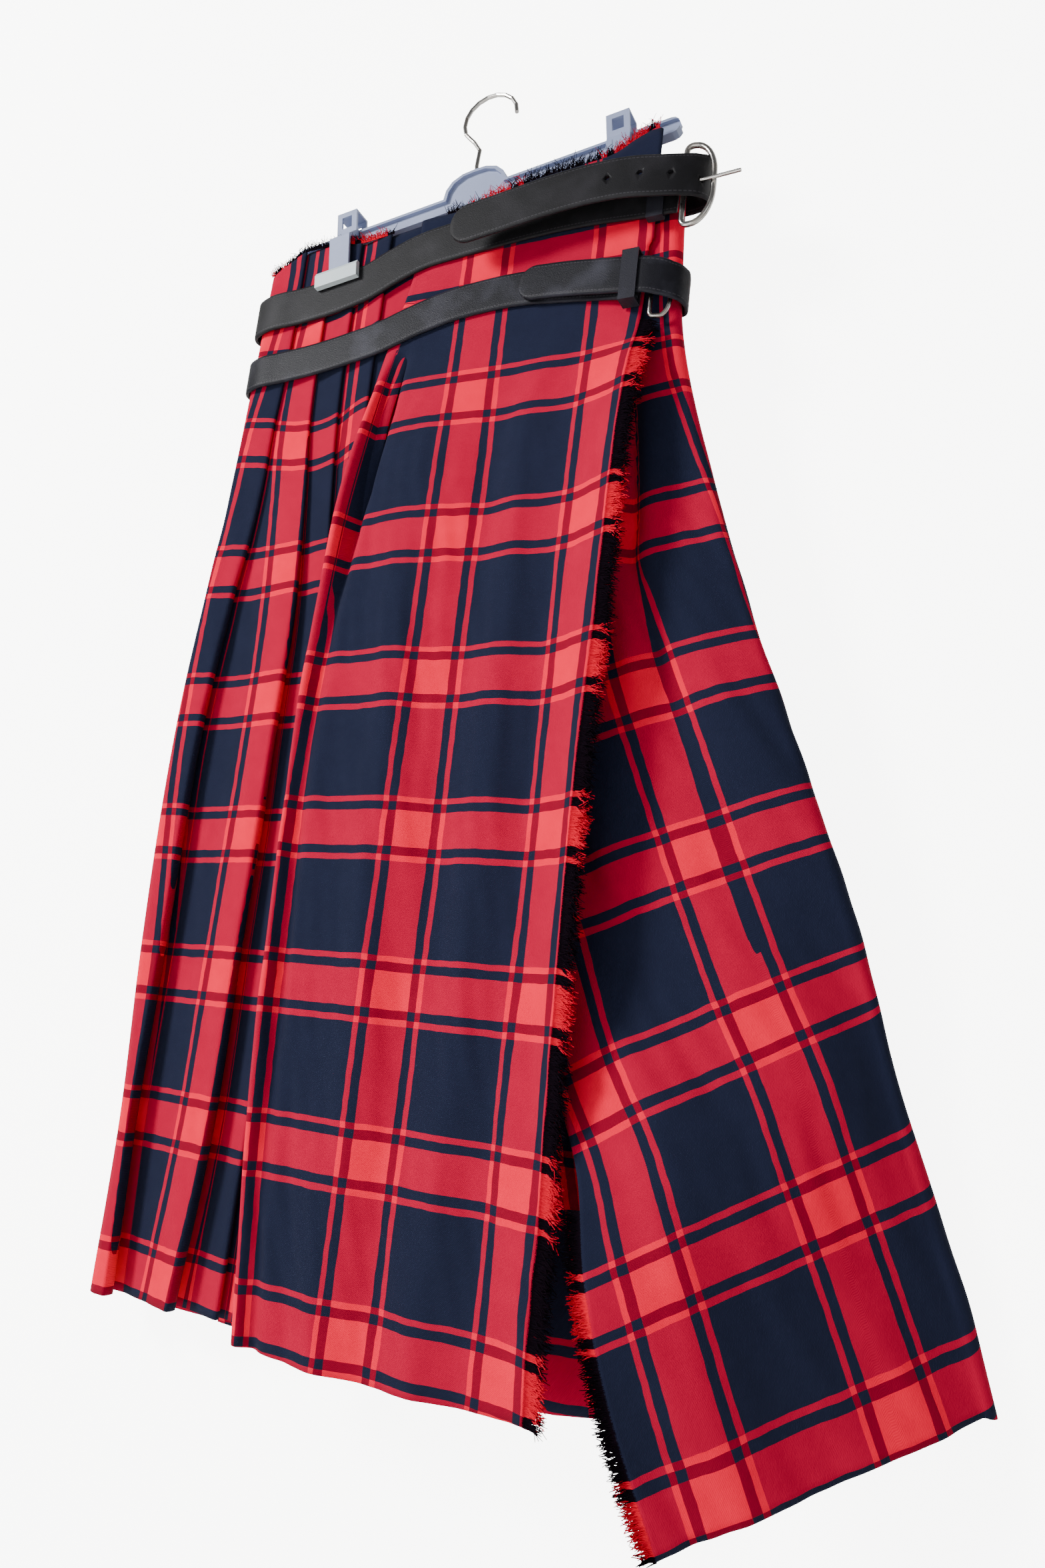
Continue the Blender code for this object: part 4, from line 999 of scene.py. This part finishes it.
makeTube("waistBuckleFrame", "waist_belt_frame",
         roundLoop(Vector((172.6, -18.6, 0)) * mm, Vector((193, -17.5, 0)) * mm, -165 * mm, -104 * mm,
                   4 * mm, (15 * mm, 24 * mm)), 2.0 * mm, metal, closed=True)
eye = (Vector((174, -19.4, -134)) * mm, Vector((213, -22.5, -135)) * mm)
makeTube("waistBuckleProng", "waist_belt_prong",
         [eye[0] + Vector((0.0024, 0, 0)), eye[0].lerp(eye[1], 0.4), eye[0].lerp(eye[1], 0.9), eye[1]],
         1.3 * mm, metal)
makeTube("hipBuckleFrame", "hip_belt_frame",
         roundLoop(Vector((155, -16.0, 0)) * mm, Vector((168, -13.0, 0)) * mm, -228 * mm, -191 * mm,
                   3 * mm, (7 * mm, 14 * mm)), 1.5 * mm, metal, closed=True)


def dressNodes(material, *nodes):
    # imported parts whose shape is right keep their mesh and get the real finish
    for node in nodes:
        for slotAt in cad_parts[node].material_slots:
            slotAt.link = "OBJECT"
            slotAt.material = material


dressNodes(greyPlastic, "hanger_bar", "clip_left_body", "clip_right_body")
dressNodes(palePlastic, "clip_left_front_jaw", "clip_left_rear_jaw", "clip_right_front_jaw",
           "clip_right_rear_jaw")
dressNodes(hipLeather, "hip_belt_keeper", "waist_belt_keeper")
dressNodes(metal, "hanger_hook")
print("belts and hanger dressed")


# Camera, light and room.
view = {"place": (0.4333, -0.6804, -0.7061), "right": (0.8986, 0.425, 0.1089),
        "up": (-0.0079, -0.2324, 0.9726), "back": (0.4387, -0.8748, -0.2055), "lens": 27.55}
camera = bpy.data.cameras.new("photoCamera")
camera.sensor_width = 36
camera.lens = view["lens"]
camera.clip_start = 0.01
eyePiece = newObject("photoCamera", camera)
axes = Matrix((view["right"], view["up"], view["back"])).transposed()
eyePiece.matrix_world = Matrix.Translation(view["place"]) @ axes.to_4x4()
bpy.context.scene.camera = eyePiece


def makeStagePiece(name, corners, material):
    made = newPiece(name, corners, [(0, 1, 2, 3)], material)
    return made


paint, paintTree, paintShader = newMaterial("paleWall", 0.9)
paintNoise = addNoise(paintTree, placeOf(paintTree), 180.0, 3.0)
paintTree.links.new(addMix(paintTree, paintNoise, linear(240, 240, 236), linear(246, 246, 243)),
                    paintShader.inputs["Base Color"])
seen = paintTree.nodes.new("ShaderNodeLightPath")
paintShader.inputs["Emission Color"].default_value = (1, 1, 0.99, 1)
paintTree.links.new(addMath(paintTree, "MULTIPLY", seen.outputs["Is Camera Ray"], 7.0),
                    paintShader.inputs["Emission Strength"])
wallOut = paintTree.nodes["Material Output"]  # from behind, the wall lets the camera through
clear = paintTree.nodes.new("ShaderNodeBsdfTransparent")
chooser = paintTree.nodes.new("ShaderNodeMixShader")
paintTree.links.new(paintTree.nodes.new("ShaderNodeNewGeometry").outputs["Backfacing"], chooser.inputs[0])
paintTree.links.new(paintShader.outputs[0], chooser.inputs[1])
paintTree.links.new(clear.outputs[0], chooser.inputs[2])
paintTree.links.new(chooser.outputs[0], wallOut.inputs["Surface"])
room = {"half": 3, "front": -4, "wall": 0.062, "floor": -1.25, "top": 2}


def cornersOf(low, high):
    # a rectangle right across the room, between two lines given by their Y and Z
    return [(-room["half"], *low), (room["half"], *low), (room["half"], *high), (-room["half"], *high)]


foot = (room["wall"], room["floor"])
wall = makeStagePiece("wall", cornersOf(foot, (room["wall"], room["top"])), paint)
wall.visible_shadow = False  # so the garment's back gets light too
makeStagePiece("floor", cornersOf((room["front"], room["floor"]), foot), paint)


def makeArea(name, place, target, size, power):
    lamp = bpy.data.lights.new(name, "AREA")
    lamp.size = size
    lamp.energy = power
    made = newObject(name, lamp)
    made.location = place
    made.rotation_euler = (Vector(target) - Vector(place)).to_track_quat("-Z", "Y").to_euler()


makeArea("keyLight", (-1.4, -1.7, 0.5), (0, 0, -0.5), 0.6, 80)
makeArea("fillLight", (1.6, -1.8, -0.2), (0.05, 0, -0.5), 1.6, 7)
makeArea("lowLight", (-0.1, -1.6, -1.15), (0.05, 0, -0.6), 1.2, 12)
makeArea("backLight", (0.7, 2.0, 0.3), (0.05, 0, -0.5), 1.0, 18)
world = bpy.data.worlds.new("softRoom")
world.use_nodes = True
world.node_tree.nodes["Background"].inputs[0].default_value = (1, 1, 1, 1)
world.node_tree.nodes["Background"].inputs[1].default_value = 0.14
bpy.context.scene.world = world
print("camera and light set")

bpy.context.view_layer.update()
